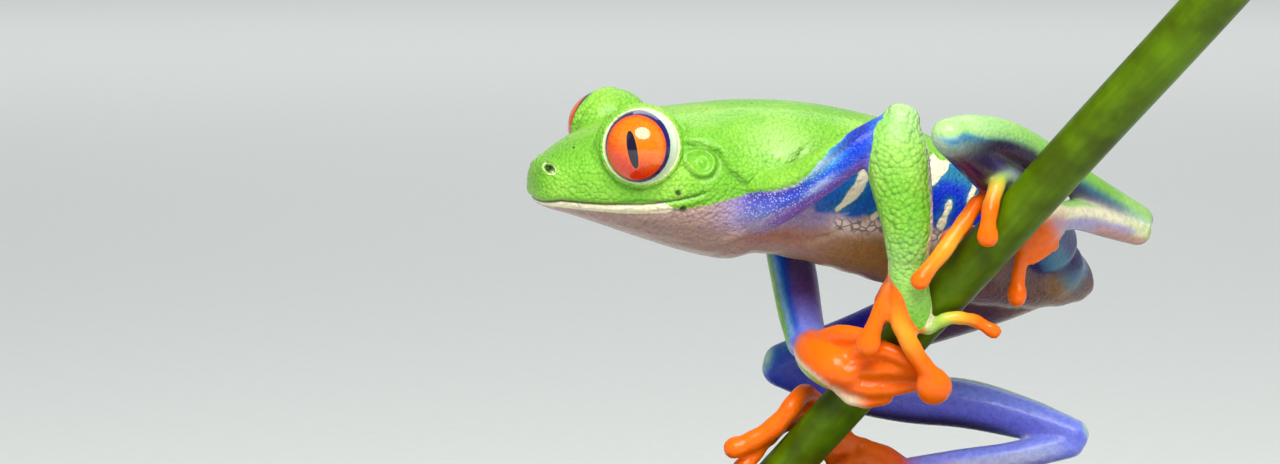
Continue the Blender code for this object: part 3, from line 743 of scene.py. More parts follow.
def sculpt_body(local, normals, owned, sizes):
    """Lips, nostrils, ear discs, the shoulder flap and folds, as moves along the normal."""
    back, side, height = mirrored(local).T
    flank = ramp(side / section_at(back)[2], 0.45, 0.7)
    snout = 1.0 - ramp(back, 0.0, 2.5) * (1.0 - flank)

    lips = fall(back, 15.5, 17.5) * np.maximum(flank, (back < 3.0) * snout)
    over_mouth = height - line_height(back, MOUTH)
    # The closed mouth, the rolls of its two lips and the furrow under the lower one
    move = lips * sum(lift * bell(over_mouth - above, width) for above, width, lift in (
        (0.0, 0.16, -sizes.lip_groove), (0.55, 0.42, 0.10), (-0.5, 0.38, 0.12)))
    move -= 0.10 * lips * bell(over_mouth + 1.15, 0.3) * ramp(back, 2.0, 5.0)

    hole = feature_distance(local, NOSTRIL)
    move += 0.16 * bell(hole - 0.58, 0.24) - 0.55 * bell(hole, 0.34)

    # The ear disc: its ring, the dip inside, its middle and the furrow round it
    disc = feature_distance(local, EAR)
    move += sum(lift * bell(disc - radius, width) for radius, width, lift in (
        (sizes.ear_radius, 0.24, 0.22), (0.6, 0.3, -0.16), (0.0, 0.28, 0.08),
        (sizes.ear_radius + 0.55, 0.3, -0.17)))

    away, which, place = along_line(back, height, EAR_FOLD)
    fade = flank * ramp(place, 0.0, 0.12) * (1.0 - 0.6 * ramp(place, 0.85, 1.0))
    behind = (which > 0) & (place > 0.0)
    move += fade * behind * sizes.flap_height * ramp(away, 0.0, 0.45) * bell(away, 3.2)
    move -= fade * 0.16 * bell(away, 0.36)

    for line, depth in ((ARMPIT_FOLD, 0.3), (SIDE_FOLD, 0.22)):
        away, which, place = along_line(back, height, line)
        move -= depth * flank * bell(away, 0.3) * between(place, 0.0, 0.15, 0.85, 1.0)
        move += 0.1 * flank * bell(away - 0.8, 0.5) * (which < 0) * ramp(place, 0.0, 0.15)
    away, which, place = along_line(back, height, BREAST_FOLD)
    move -= 0.26 * bell(away, 0.4) * between(place, 0.0, 0.1, 0.9, 1.0)
    move += 0.16 * flank * bell(away - 0.9, 0.6) * (which < 0)

    over_flank = height - line_height(back, FLANK_TOP)
    move += 0.10 * flank * bell(over_flank - 0.25, 0.4) * ramp(back, 21.0, 24.0)
    over_fold = height + 5.6 + 0.12 * (back - 10.0)
    for above, depth in THROAT_FOLDS:
        move -= depth * flank * bell(over_fold - above, 0.3) * between(back, 6.0, 9.0, 18.0, 20.0)

    wrinkle = np.sin(back * 2.1 + height * 1.3 + 1.7 * np.sin(height * 0.9))
    move += 0.05 * wrinkle * ramp(-height, 3.0, 6.0) * ramp(back, 22.0, 27.0)

    # The flap over the near shoulder, which the arm's skin shares
    away, which, place = along_line(back, height, FLAP_EDGE)
    raised = sizes.flap_height * bell(away - 0.3, 2.2) * ramp(away, -0.1, 0.3)
    flap = np.where(which > 0, raised, -0.12 * bell(away, 0.3))
    flap *= (local[:, 1] < -8.0) * between(place, 0.0, 0.12, 0.85, 1.0)
    local += normals * (move * owned + flap)[:, None]


# ---------------------------------------------------------------- limb paint

# Colours of the markings beside those of the settings
MORE_TINTS = {
    "periwinkle": "#6C78D0", "azure": "#0638CC", "sky": "#0458D8", "sea": "#0A66C0",
    "navy": "#0C2A78", "indigo": "#3426C0", "bluebell": "#8A9AFF", "ice": "#C8DCEC",
    "orchid": "#7C58BE", "teal": "#2C8AA0", "dusk": "#5C3A4E", "rose": "#D89A86",
    "blush": "#B8A2B8", "fold": "#B06A48", "cobble": "#FFEAD8", "amber": "#FFA424",
    "chartreuse": "#B4CC4C",
}
# For each segment: direction of its green side, cosines where the green ends from its near
# end to its far end, strength of the pale edge line, the colours under the green from end to
# end, and layers over them.  A layer is a colour, a direction, the cosines between which it
# fades in, where along the segment it starts and stops, and its strength.
# Plum, dusk and ember layers that face downwards or lie against the body are painted shade
LIMB_PAINT = {
    "left_upper_arm": (None, (2.0,), 0.0, "blush periwinkle azure sky blue", (
        ("blush", (-0.1, -0.5, -0.9), 0.84, 1.0, 0.0, 0.45, 0.9),
        ("violet", (-0.3, -0.8, 0.6), 0.5, 0.9, 0.0, 0.4, 0.6),
        ("cyan", (-0.5, -0.8, 0.3), 0.8, 0.97, 0.52, 0.8, 0.85),
        # Two narrow ice streaks of painted highlight along the top of the arm
        ("ice", (-0.42, -0.85, 0.32), 0.95, 0.995, 0.58, 0.7, 0.9),
        ("ice", (0.1, -0.9, -0.42), 0.95, 0.995, 0.5, 0.64, 0.75),
        ("azure", (-0.3, -0.9, -0.2), 0.3, 0.9, 0.76, 1.0, 0.9),
        ("orchid", (0.4, -0.5, -0.8), 0.78, 0.97, 0.2, 0.95, 0.9))),
    "left_forearm": ((-0.25, -1.0, 0.1), (-0.15, 0.05, 0.18, 0.2, 0.2), 1.0,
                     "cyan periwinkle periwinkle orange", (
        ("mint", (0.5, -0.5, 0.9), 0.6, 0.95, 0.0, 0.12, 0.8),)),
    "left_hand": ((0.05, -1.0, 0.1), (0.1, 0.15, 0.5), 0.6, "orange orange", (
        ("cream", (1.0, -0.4, 0.0), 0.6, 0.9, 0.0, 1.0, 0.9),)),
    "right_upper_arm": (None, (2.0,), 0.0, "lavender azure plum", ()),
    "right_forearm": ((-0.6, 0.8, 0.1), (0.28, 0.34, 0.34, 0.32), 0.25,
                      "plum plum orchid bluebell", (
        ("plum", (0.0, -1.0, 0.4), 0.3, 0.9, 0.0, 0.42, 0.9),
        ("sky", (-0.95, -0.5, 0.1), 0.45, 0.85, 0.22, 1.0, 0.95),
        ("cyan", (-0.95, -0.2, 0.4), 0.85, 0.98, 0.3, 1.0, 0.7),
        ("orchid", (0.4, -0.9, 0.2), 0.6, 0.95, 0.35, 1.0, 0.8),
        ("lavender", (1.0, -0.35, 0.1), 0.8, 0.98, 0.15, 1.0, 0.9))),
    "right_hand": ((-0.75, 0.1, -0.75), (0.78, 0.86), 0.8,
                   "bluebell orange orange orange orange orange", (
        ("ember", (-0.2, -0.5, -0.9), 0.5, 0.9, 0.0, 1.0, 0.7),)),
    "left_thigh": ((0.1, -0.1, 1.0), (0.72, 0.8), 0.4, "navy plum plum plum", (
        ("dusk", (-0.3, -0.9, 0.1), 0.6, 0.95, 0.4, 1.0, 0.8),
        ("violet", (0.6, -0.8, -0.1), 0.8, 0.99, 0.45, 0.75, 0.45),
        ("navy", (0.8, -0.5, -0.2), 0.3, 0.8, 0.0, 0.2, 0.9),
        ("teal", (0.4, -0.5, -0.8), 0.8, 0.98, 0.0, 0.16, 0.6))),
    "left_shank": ((-0.1, -0.3, 1.0), (-0.05, 0.0, 0.0, 0.15, 0.15), 0.0,
                   "mint plum plum navy navy", (
        ("cyan", (0.3, -0.9, 0.3), 0.45, 0.85, 0.0, 0.34, 0.95),
        ("mint", (0.1, -0.9, 0.5), 0.72, 0.93, 0.0, 0.4, 0.95),
        ("teal", (0.3, -0.85, 0.1), 0.75, 0.97, 0.4, 1.0, 0.8),
        ("mint", (0.5, -0.8, -0.2), 0.6, 0.95, 0.9, 1.0, 0.95),
        ("plum", (0.3, -0.6, -0.8), 0.5, 0.8, 0.08, 0.6, 0.95))),
    "left_tarsus": ((0.0, 0.1, 1.0), (0.5, 0.6), 0.9, "chartreuse cream cream cream", (
        ("cream", (-0.2, -1.0, 0.0), 0.3, 0.8, 0.0, 0.2, 0.8),
        ("lavender", (0.1, -0.75, -0.75), 0.45, 0.8, 0.15, 1.0, 0.85),
        ("ice", (0.0, -1.0, 0.1), 0.75, 0.97, 0.1, 0.9, 0.5),
        ("rose", (0.2, -0.3, -1.0), 0.6, 0.9, 0.0, 0.6, 0.9),
        ("dusk", (0.3, 0.0, -1.0), 0.8, 0.97, 0.0, 0.5, 0.8))),
    "left_foot": (None, (2.0,), 0.0, "rose orange orange", (
        ("cream", (0.0, -0.3, 1.0), 0.55, 0.85, 0.0, 0.35, 0.8),)),
    # On the right thigh, dusk towards the hip is painted shadow cast by the belly
    "right_thigh": ((0.0, 0.85, 0.55), (0.9, 0.85, 0.8, 0.8), 0.3,
                    "belly dusk dusk indigo periwinkle", (
        ("teal", (0.9, -0.5, 0.2), 0.3, 0.8, 0.0, 0.12, 0.85),
        ("mint", (1.0, 0.1, -0.1), 0.88, 1.0, 0.0, 0.1, 0.6),
        ("dusk", (0.2, -0.5, 0.8), 0.2, 0.7, 0.0, 0.45, 0.8),
        ("indigo", (0.0, -0.8, 0.5), 0.2, 0.7, 0.5, 0.9, 0.9),
        ("plum", (0.1, -0.5, -0.9), 0.5, 0.9, 0.5, 0.9, 0.9),
        ("periwinkle", (-0.7, -0.7, 0.2), 0.3, 0.8, 0.84, 1.0, 0.9),
        ("sky", (-0.7, -0.7, 0.2), 0.5, 0.9, 0.8, 1.0, 0.6),
        ("cyan", (-1.0, -0.3, 0.4), 0.6, 0.9, 0.86, 1.0, 0.9),
        ("mint", (-1.0, -0.3, 0.5), 0.8, 0.97, 0.88, 1.0, 0.95))),
    "right_shank": ((0.1, 0.8, 0.6), (0.7, 0.72, 0.72, 0.72), 0.0,
                    "azure bluebell bluebell bluebell", (
        ("mint", (-1.0, -0.3, 0.4), 0.72, 0.95, 0.0, 0.06, 0.9),
        ("violet", (0.1, -0.9, -0.3), 0.6, 0.98, 0.1, 1.0, 0.6),
        ("plum", (0.1, -0.4, -0.9), 0.6, 0.95, 0.05, 0.8, 0.9),
        ("mint", (0.1, 0.1, 1.0), 0.86, 0.98, 0.1, 1.0, 0.95),
        ("mint", (1.0, -0.2, 0.4), 0.75, 0.95, 0.9, 1.0, 0.95))),
    "right_tarsus": ((0.0, 0.9, 0.4), (0.5, 0.6, 0.7, 0.9), 0.6,
                     "bluebell lavender lavender orange", (
        ("bluebell", (0.0, -0.5, 0.9), 0.6, 0.95, 0.0, 1.0, 0.9),
        ("ice", (0.1, -1.0, 0.0), 0.75, 0.98, 0.1, 0.8, 0.4))),
    "right_foot": (None, (2.0,), 0.0, "ember orange", ()),
}
# How far the green fades into the colour below, from a crisp edge at 0
SOFT_EDGES = {"left_shank": 1.0, "left_thigh": 0.6, "left_tarsus": 0.5, "left_foot": 0.5,
              "right_forearm": 0.3, "right_shank": 1.0}
# The colours along a digit from its base to its tip, where some of it is green or pale
PALE_DIGITS = {
    "left_finger_4": "leaf chartreuse amber orange orange",
    "left_toe_5": "orange chartreuse mint chartreuse orange orange",
    "right_finger_4": "cream cream orange orange",
    "left_finger_3": "orange amber orange orange",
    "left_toe_4": "orange orange orange amber orange",
}
# Half width of the pale line along the green, and where it is wider
EDGE_LINE = 0.26
EDGE_LINES = {"left_forearm": 0.7}
# Strength of the granules: on the hands and feet, on the limbs, and where it is greater
SMOOTH_GRAIN = 0.1
LIMB_GRAIN = 0.3
ROUGH_SKIN = {"left_forearm": 1.5, "left_hand": 0.8, "left_upper_arm": 0.6}
SMOOTH_SKIN = ("right_hand", "left_foot", "right_foot", *DIGITS)
# Strength along a segment of pale dots on the blue, and of the painted sheen, a pale highlight
# painted on the green
FLECKS = {"left_upper_arm": (0.5, 0.6, 0.5, 0.12, 0.0)}
PAINTED_SHEEN = {"left_forearm": (0.5, 0.12, 0.0, 0.0, 0.2), "left_hand": (0.2, 0.0),
         "left_shank": (0.6, 0.3, 0.1, 0.1, 0.35), "left_tarsus": (0.3, 0.3)}
NEARBY = 4.5               # how far from a tube its fields are worked out
TRACE = 1e-9               # weight that the body keeps even far away from it


def near_tube(points, centres, radii):
    """Clearance from a tube, place along it from 0 to 1 and direction out from its line."""
    best = np.full(len(points), FAR)
    place = np.zeros(len(points))
    outward = np.zeros_like(points)
    steps = np.linalg.norm(np.diff(centres, axis=0), axis=1)
    lengths = np.concatenate(((0.0,), np.cumsum(steps))) / steps.sum()
    for index in range(len(centres) - 1):
        start, run = centres[index], centres[index + 1] - centres[index]
        t = np.clip((points - start) @ run / (run @ run), 0.0, 1.0)
        away = points - start - t[:, None] * run
        reach = np.linalg.norm(away, axis=1)
        clearance = reach - radii[index] - t * (radii[index + 1] - radii[index])
        closer = clearance < best
        best[closer] = clearance[closer]
        place[closer] = (lengths[index] + t * (lengths[index + 1] - lengths[index]))[closer]
        outward[closer] = (away / np.maximum(reach, TINY)[:, None])[closer]
    return best, place, outward


def tube_fields(points):
    """For each limb segment and digit: its name, the points near it, their clearance, place
    along it and direction outwards, and its mean radius."""
    for name in (*LIMBS, *DIGITS):
        rows = limb_rows(name) if name in LIMBS else digit_rows(name)
        radii = (rows[:, 3] + rows[:, 4]) / 2 if name in LIMBS else rows[:, 4]
        centres = rows[:, :3]
        inside = (points > centres.min(axis=0) - NEARBY) & (points < centres.max(axis=0) + NEARBY)
        chosen = np.flatnonzero(inside.all(axis=1))
        yield (name, chosen, *near_tube(points[chosen], centres, radii), radii.mean())


def body_share(points, local):
    """How far each point belongs to the head and trunk rather than a limb, 0 to 1."""
    weight = touch(body_clearance(local), 0.35)
    total = weight.copy()
    for _, chosen, clearance, *_ in tube_fields(points):
        total[chosen] += touch(clearance, 0.35)
    return weight / np.maximum(total, TINY)


# ---------------------------------------------------------------- markings

def mixed(first, second, share):
    """Colours of the points, taken from the first towards the second by a share."""
    return first + (second - first) * share[:, None]


# Lines of the flank's pale bars, then their half widths at the two ends
FLANK_BARS = (
    (((33.6, 1.6), (32.6, -0.3), (31.5, -1.5), (30.4, -2.5)), 0.75, 0.3),
    (((38.2, 1.8), (37.2, -0.6), (35.9, -2.2), (34.3, -3.4)), 0.7, 0.3),
    (((43.2, 2.3), (42.2, 1.3), (41.0, 0.5)), 1.1, 0.9),
    (((43.1, -2.3), (42.6, -3.4), (42.0, -4.6)), 0.34, 0.45),
    (((47.6, 0.2), (46.4, -1.2), (45.4, -2.4)), 0.5, 0.2),
    (((51.5, -2.0), (50.4, -3.6), (49.0, -5.3), (47.2, -6.8)), 0.5, 0.3),
    (((55.8, -5.2), (54.8, -6.6), (53.4, -8.0), (51.6, -9.2)), 0.45, 0.3),
)


def cobbled(back, height):
    """The zone of coarse pale granules under the blue flank, 0 to 1."""
    under_flank = bell(height - line_height(back, FLANK_FOOT) + 1.0, 0.9)
    return under_flank * between(back, 29.0, 31.0, 43.0, 46.0)


def body_paint(local, tint):
    """Under-colour, green field and pale field of the head and trunk."""
    back, _, height = local.T
    mouth, lip, flank, foot = (line_height(back, line)
                               for line in (MOUTH, LOWER_LIP, FLANK_TOP, FLANK_FOOT))
    wave = 0.14 * np.sin(back * 2.3) + 0.08 * np.sin(back * 5.1 + 1.0)
    border = np.where(back < 21.1, lip, flank + wave * ramp(back, 21.1, 24.0))
    green = height - (border + (mouth - border) * fall(back, 11.6, 14.0))

    ripple = 0.25 * np.sin(back * 1.9 + 0.6)
    band = ramp(height, foot - 0.2 + ripple, foot + 0.2 + ripple) * ramp(back, 26.5, 28.5)
    upper = ramp(height - flank, -2.7, -1.3) * between(back, 40.5, 42.0, 46.0, 49.0)
    deep = mixed(tint["sea"], tint["blue"], ramp(back, 36.0, 42.0))
    under = mixed(tint["throat"], tint["belly"], ramp(back - 0.9 * (height + 8), 22.0, 34.0))
    for paint, share in (
            # Painted shade: the rear of the underside darkens to dusk
            (tint["dusk"], 0.75 * ramp(back, 40.0, 50.0)),
            (tint["fold"], 0.75 * bell(height + 5.2, 1.1) * between(back, 19.0, 22.0, 26.0, 30.0)),
            (tint["lavender"],
             0.75 * ramp(height, -5.5, -3.0) * between(back, 15.5, 20.5, 30.5, 33.0)),
            (tint["cobble"], 0.95 * cobbled(back, height)),
            (deep, band * fall(back, 59.0, 62.0)),
            (tint["teal"], 0.85 * upper * band)):
        under = mixed(under, paint, share)

    # A thin pale rim round each nostril, cut out of the green
    rim = 5.0 * (0.045 - np.abs(feature_distance(local, NOSTRIL) - 0.5))
    pale = np.minimum(height - lip, mouth - 0.1 - height)
    pale = np.minimum(pale, (12.9 - back) * 0.5)
    pale = np.maximum(pale, 0.14 - np.abs(height - border + 0.1) - 2.0 * (back < 26.0))
    for number, (bar, head, tail) in enumerate(FLANK_BARS):
        away, _, place = along_line(back, height, bar)
        width = head + (tail - head) * place - 0.08 * np.sin(place * 9.0 + number)
        pale = np.maximum(pale, width - away)
        under = mixed(under, tint["teal"], 0.6 * band * bell(away - width, 0.4))
    return under, np.minimum(green, -rim), np.maximum(pale, rim)


def tint_table(colours):
    """Every named colour of the markings."""
    settings = {name: getattr(colours, name) for name in colours.__annotations__}
    more = {name: hex_linear(text) for name, text in MORE_TINTS.items()}
    return {name: np.array(value) for name, value in {**settings, **more}.items()}


def facing(outward, side):
    """Cosine of the angle between the outward direction and a side."""
    return outward @ np.array(Vector(side).normalized())


def stops_along(place, stops):
    """Values of evenly spaced stops at places from 0 to 1."""
    return np.interp(place, np.linspace(0, 1, len(stops)), stops)


def limb_colour(place, outward, stops, layers, tint):
    """Colour under the green of a limb segment."""
    stop = place * (len(stops) - 1)
    blend = np.zeros_like(outward)
    for index, key in enumerate(stops):
        blend += tint[key] * np.clip(1 - np.abs(stop - index), 0, 1)[:, None]
    for key, side, low, high, start, end, strength in layers:
        share = strength * ramp(facing(outward, side), low, high)
        if start > 0.0:
            share *= ramp(place, start - 0.1, start + 0.1)
        if end < 1.0:
            share *= 1 - ramp(place, end - 0.1, end + 0.1)
        blend = mixed(blend, tint[key], share)
    return blend


def paint_fields(points, local, colours):
    """All fields of the markings at the points."""
    tint = tint_table(colours)
    under, green, pale = body_paint(local, tint)
    back, _, height = local.T
    weight = touch(body_clearance(local)) + TRACE
    total = weight.copy()
    smooth_ear = 1.0 - 0.65 * fall(feature_distance(local, EAR), 1.2, 1.9)
    rough = 0.75 + 0.25 * ramp(height, -4.0, -2.0) + 1.2 * cobbled(back, height)
    fields = {
        "under_colour": under * weight[:, None],
        "green_edge": green * weight,
        "pale_edge": pale * weight,
        "grain": weight * rough * smooth_ear,
        "soft_edge": np.zeros(len(points)),
        "flecks": weight * 0.35 * bell(back - 23.0, 5.0) * bell(height + 3.5, 2.0),
        # A pale highlight painted on the shoulder flap behind the ear
        "painted_sheen": weight * 0.25 * bell(back - 24.5, 3.0) * bell(height - 4.0, 2.2),
    }
    for name, chosen, clearance, place, outward, radius in tube_fields(points):
        share = touch(clearance)
        total[chosen] += share
        side, limits, edging, stops, layers = LIMB_PAINT.get(
            name, (None, (2.0,), 0.0, PALE_DIGITS.get(name, "orange orange"), ()))
        shown = limb_colour(place, outward, stops.split(), layers, tint)
        edge = np.full(len(place), -2.0)
        if side:
            edge = (facing(outward, side) - stops_along(place, limits)) * radius * 1.25
            line = EDGE_LINES.get(name, EDGE_LINE)
            shown = mixed(shown, tint["cream"], edging * bell(edge + 0.8 * line, line))
        if name == "left_upper_arm":
            # The green flap ends over the arm in a shaded line with a pale rim in front
            away, which, _ = along_line(back[chosen], height[chosen], FLAP_EDGE)
            edge = away * which
            rim = 0.7 * between(back[chosen], 21.5, 23.0, 24.5, 26.0) * bell(edge + 0.06, 0.12)
            shown = mixed(shown, tint["plum"], 0.5 * bell(edge + 0.4, 0.3))
            shown = mixed(shown, tint["cream"], rim)
        grain = ROUGH_SKIN.get(name, SMOOTH_GRAIN if name in SMOOTH_SKIN else LIMB_GRAIN)
        for key, value in (
                ("green_edge", edge), ("pale_edge", -2.0), ("grain", grain),
                ("soft_edge", SOFT_EDGES.get(name, 0.0)),
                ("flecks", stops_along(place, FLECKS.get(name, (0.0, 0.0)))),
                ("painted_sheen", stops_along(place, PAINTED_SHEEN.get(name, (0.0, 0.0))))):
            fields[key][chosen] += share * value
        fields["under_colour"][chosen] += shown * share[:, None]
    fields["under_colour"] /= total[:, None]
    return {key: value if value.ndim == 2 else value / total for key, value in fields.items()}


def painted_shade_and_specks(local):
    """Painted shade in the nostrils, the mouth's line, the furrow round each ear disc and the ear
    fold, with the real dark specks of the cheek, 0 to 1.
    """
    back, _, height = local.T
    ear = feature_distance(local, EAR)
    over_mouth = height - line_height(back, MOUTH)
    away, _, place = along_line(back, height, EAR_FOLD)
    shades = [
        0.97 * fall(feature_distance(local, NOSTRIL), 0.26, 0.44),
        0.8 * bell(over_mouth, 0.11) * fall(back, 15.0, 17.0),
        0.22 * bell(ear - 1.6, 0.22),
        0.24 * bell(away, 0.28) * ramp(place, 0.0, 0.1)]
    for speck_back, speck_height, size in SPECKS:
        away = np.hypot(back - speck_back, height - speck_height)
        shades.append(0.9 * (local[:, 1] < -2.0) * fall(away, 0.5 * size, size))
    return np.maximum.reduce(shades)


# ---------------------------------------------------------------- skin

MOST_TRIANGLES = 190000
KEPT_DETAIL = 0.35         # how readily the fine places lose triangles, beside 1 elsewhere


def detail_zones(points):
    """True near the eyes, mouth, nostrils and ears, where the mesh is made finer."""
    local = in_body(points)
    close = np.zeros(len(points), dtype=bool)
    for centre, inner, outer in ((EYE_CENTRE, 1.5, 6.2), (NOSTRIL, -1.0, 1.4), (EAR, -1.0, 2.4)):
        reach = np.linalg.norm(mirrored(local) - np.array(centre), axis=1)
        close |= (reach > inner) & (reach < outer)
    over_mouth = local[:, 2] - line_height(local[:, 0], MOUTH)
    lips = (np.abs(over_mouth) < 1.0) & (local[:, 0] < 17.5) & (body_clearance(local) < 0.8)
    return close | lips


def made_finer(mesh, chosen):
    """Cut the faces among the chosen points into four."""
    bm = bmesh.new()
    bm.from_mesh(mesh)
    edges = [edge for edge in bm.edges
             if chosen[edge.verts[0].index] and chosen[edge.verts[1].index]]
    bmesh.ops.subdivide_edges(bm, edges=edges, cuts=1, use_grid_fill=True)
    bmesh.ops.triangulate(bm, faces=[face for face in bm.faces if len(face.verts) > 4])
    bm.to_mesh(mesh)
    bm.free()


def thinned(mesh, chosen):
    """The mesh with fewer triangles, taken from the points that aren't chosen first."""
    count = sum(len(polygon.vertices) - 2 for polygon in mesh.polygons)
    if count <= MOST_TRIANGLES:
        return mesh
    obj = linked_object("skin", mesh)
    group = obj.vertex_groups.new(name="plain")
    group.add(np.flatnonzero(~chosen).tolist(), 1.0, "REPLACE")
    group.add(np.flatnonzero(chosen).tolist(), KEPT_DETAIL, "REPLACE")
    decimate = obj.modifiers.new("thin", "DECIMATE")
    decimate.vertex_group = "plain"
    decimate.ratio = MOST_TRIANGLES / count
    return evaluated_mesh(obj)


def skin_mesh(sizes, colours):
    """The frog's whole skin in millimetres, with its markings as attributes."""
    mesh = fused(flesh_shells(), sizes.voxel)
    smoothed(mesh, 6)
    made_finer(mesh, detail_zones(points_of(mesh)))
    smoothed(mesh, 3)
    points = points_of(mesh)
    local = in_body(points)
    owned = ramp(body_share(points, local), 0.25, 0.6)
    normals = normals_of(mesh) @ np.array(BODY_FRAME)[:3, :3]
    sculpt_body(local, normals, owned, sizes)
    sculpt_lids(local, sizes)
    set_points(mesh, placed(local, BODY_FRAME))
    smoothed(mesh, 1)
    points = points_of(mesh)
    fields = paint_fields(points, in_body(points), colours)
    mesh = thinned(mesh, detail_zones(points) | (np.abs(fields["green_edge"]) < 0.25)
                   | (np.abs(fields["pale_edge"]) < 0.4))
    points = points_of(mesh)
    local = in_body(points)
    for name, values in paint_fields(points, local, colours).items():
        store(mesh, name, values)
    store(mesh, "shade", painted_shade_and_specks(local) * body_share(points, local))
    store(mesh, "lids", np.maximum(*(1 - ramp(eye_polar(local, side)[2], 84.0, 90.0)
                                     for side in SIDES)))
    return mesh


def finished(name, mesh, material, slot, *nodes):
    """Turn a mesh in millimetres into a piece in metres that stands for the solids."""
    mesh.transform(Matrix.Scale(MM, 4))
    mesh.shade_smooth()
    mesh.materials.clear()
    mesh.materials.append(material)
    mesh.name = name
    piece = linked_object(name, mesh)
    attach(piece, BODY)
    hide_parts(*nodes)


# ---------------------------------------------------------------- materials

PER_MM = 1 / MM            # a pattern's scale in metres is this over its size in millimetres
# Settings of the nodes that are used most; a mix of colours gives its third output
SMOOTH = {"interpolation_type": "SMOOTHSTEP"}
PLUS, TIMES, TIMES_PLUS = ({"operation": name} for name in ("ADD", "MULTIPLY", "MULTIPLY_ADD"))
PAINT = {"out": 2, "data_type": "RGBA"}
# What the skin's shader reads at each point, beside the colour under the green
SKIN_FIELDS = ("green_edge", "pale_edge", "soft_edge", "grain", "flecks", "painted_sheen", "shade",
               "lids")


def add(material, kind, inputs=(), out=0, **settings):
    """Add a node with its settings and inputs, and give back the output asked for.

    Inputs are values, colours or other outputs, in the sockets' order or by name or number.
    """
    tree = material.node_tree
    node = tree.nodes.new("ShaderNode" + kind)
    for key, value in settings.items():
        setattr(node, key, value)
    named = inputs if isinstance(inputs, dict) else dict(enumerate(inputs))
    for key, value in named.items():
        socket = node.inputs[key]
        if isinstance(value, bpy.types.NodeSocket):
            tree.links.new(value, socket)
        else:
            socket.default_value = (*value, 1.0) if socket.type == "RGBA" else value
    return node.outputs[out] if node.outputs else node


def blank_material(name):
    """A new material, and the function that adds nodes to it."""
    material = bpy.data.materials.new(name)
    material.use_nodes = True
    material.node_tree.nodes.clear()
    return material, partial(add, material)


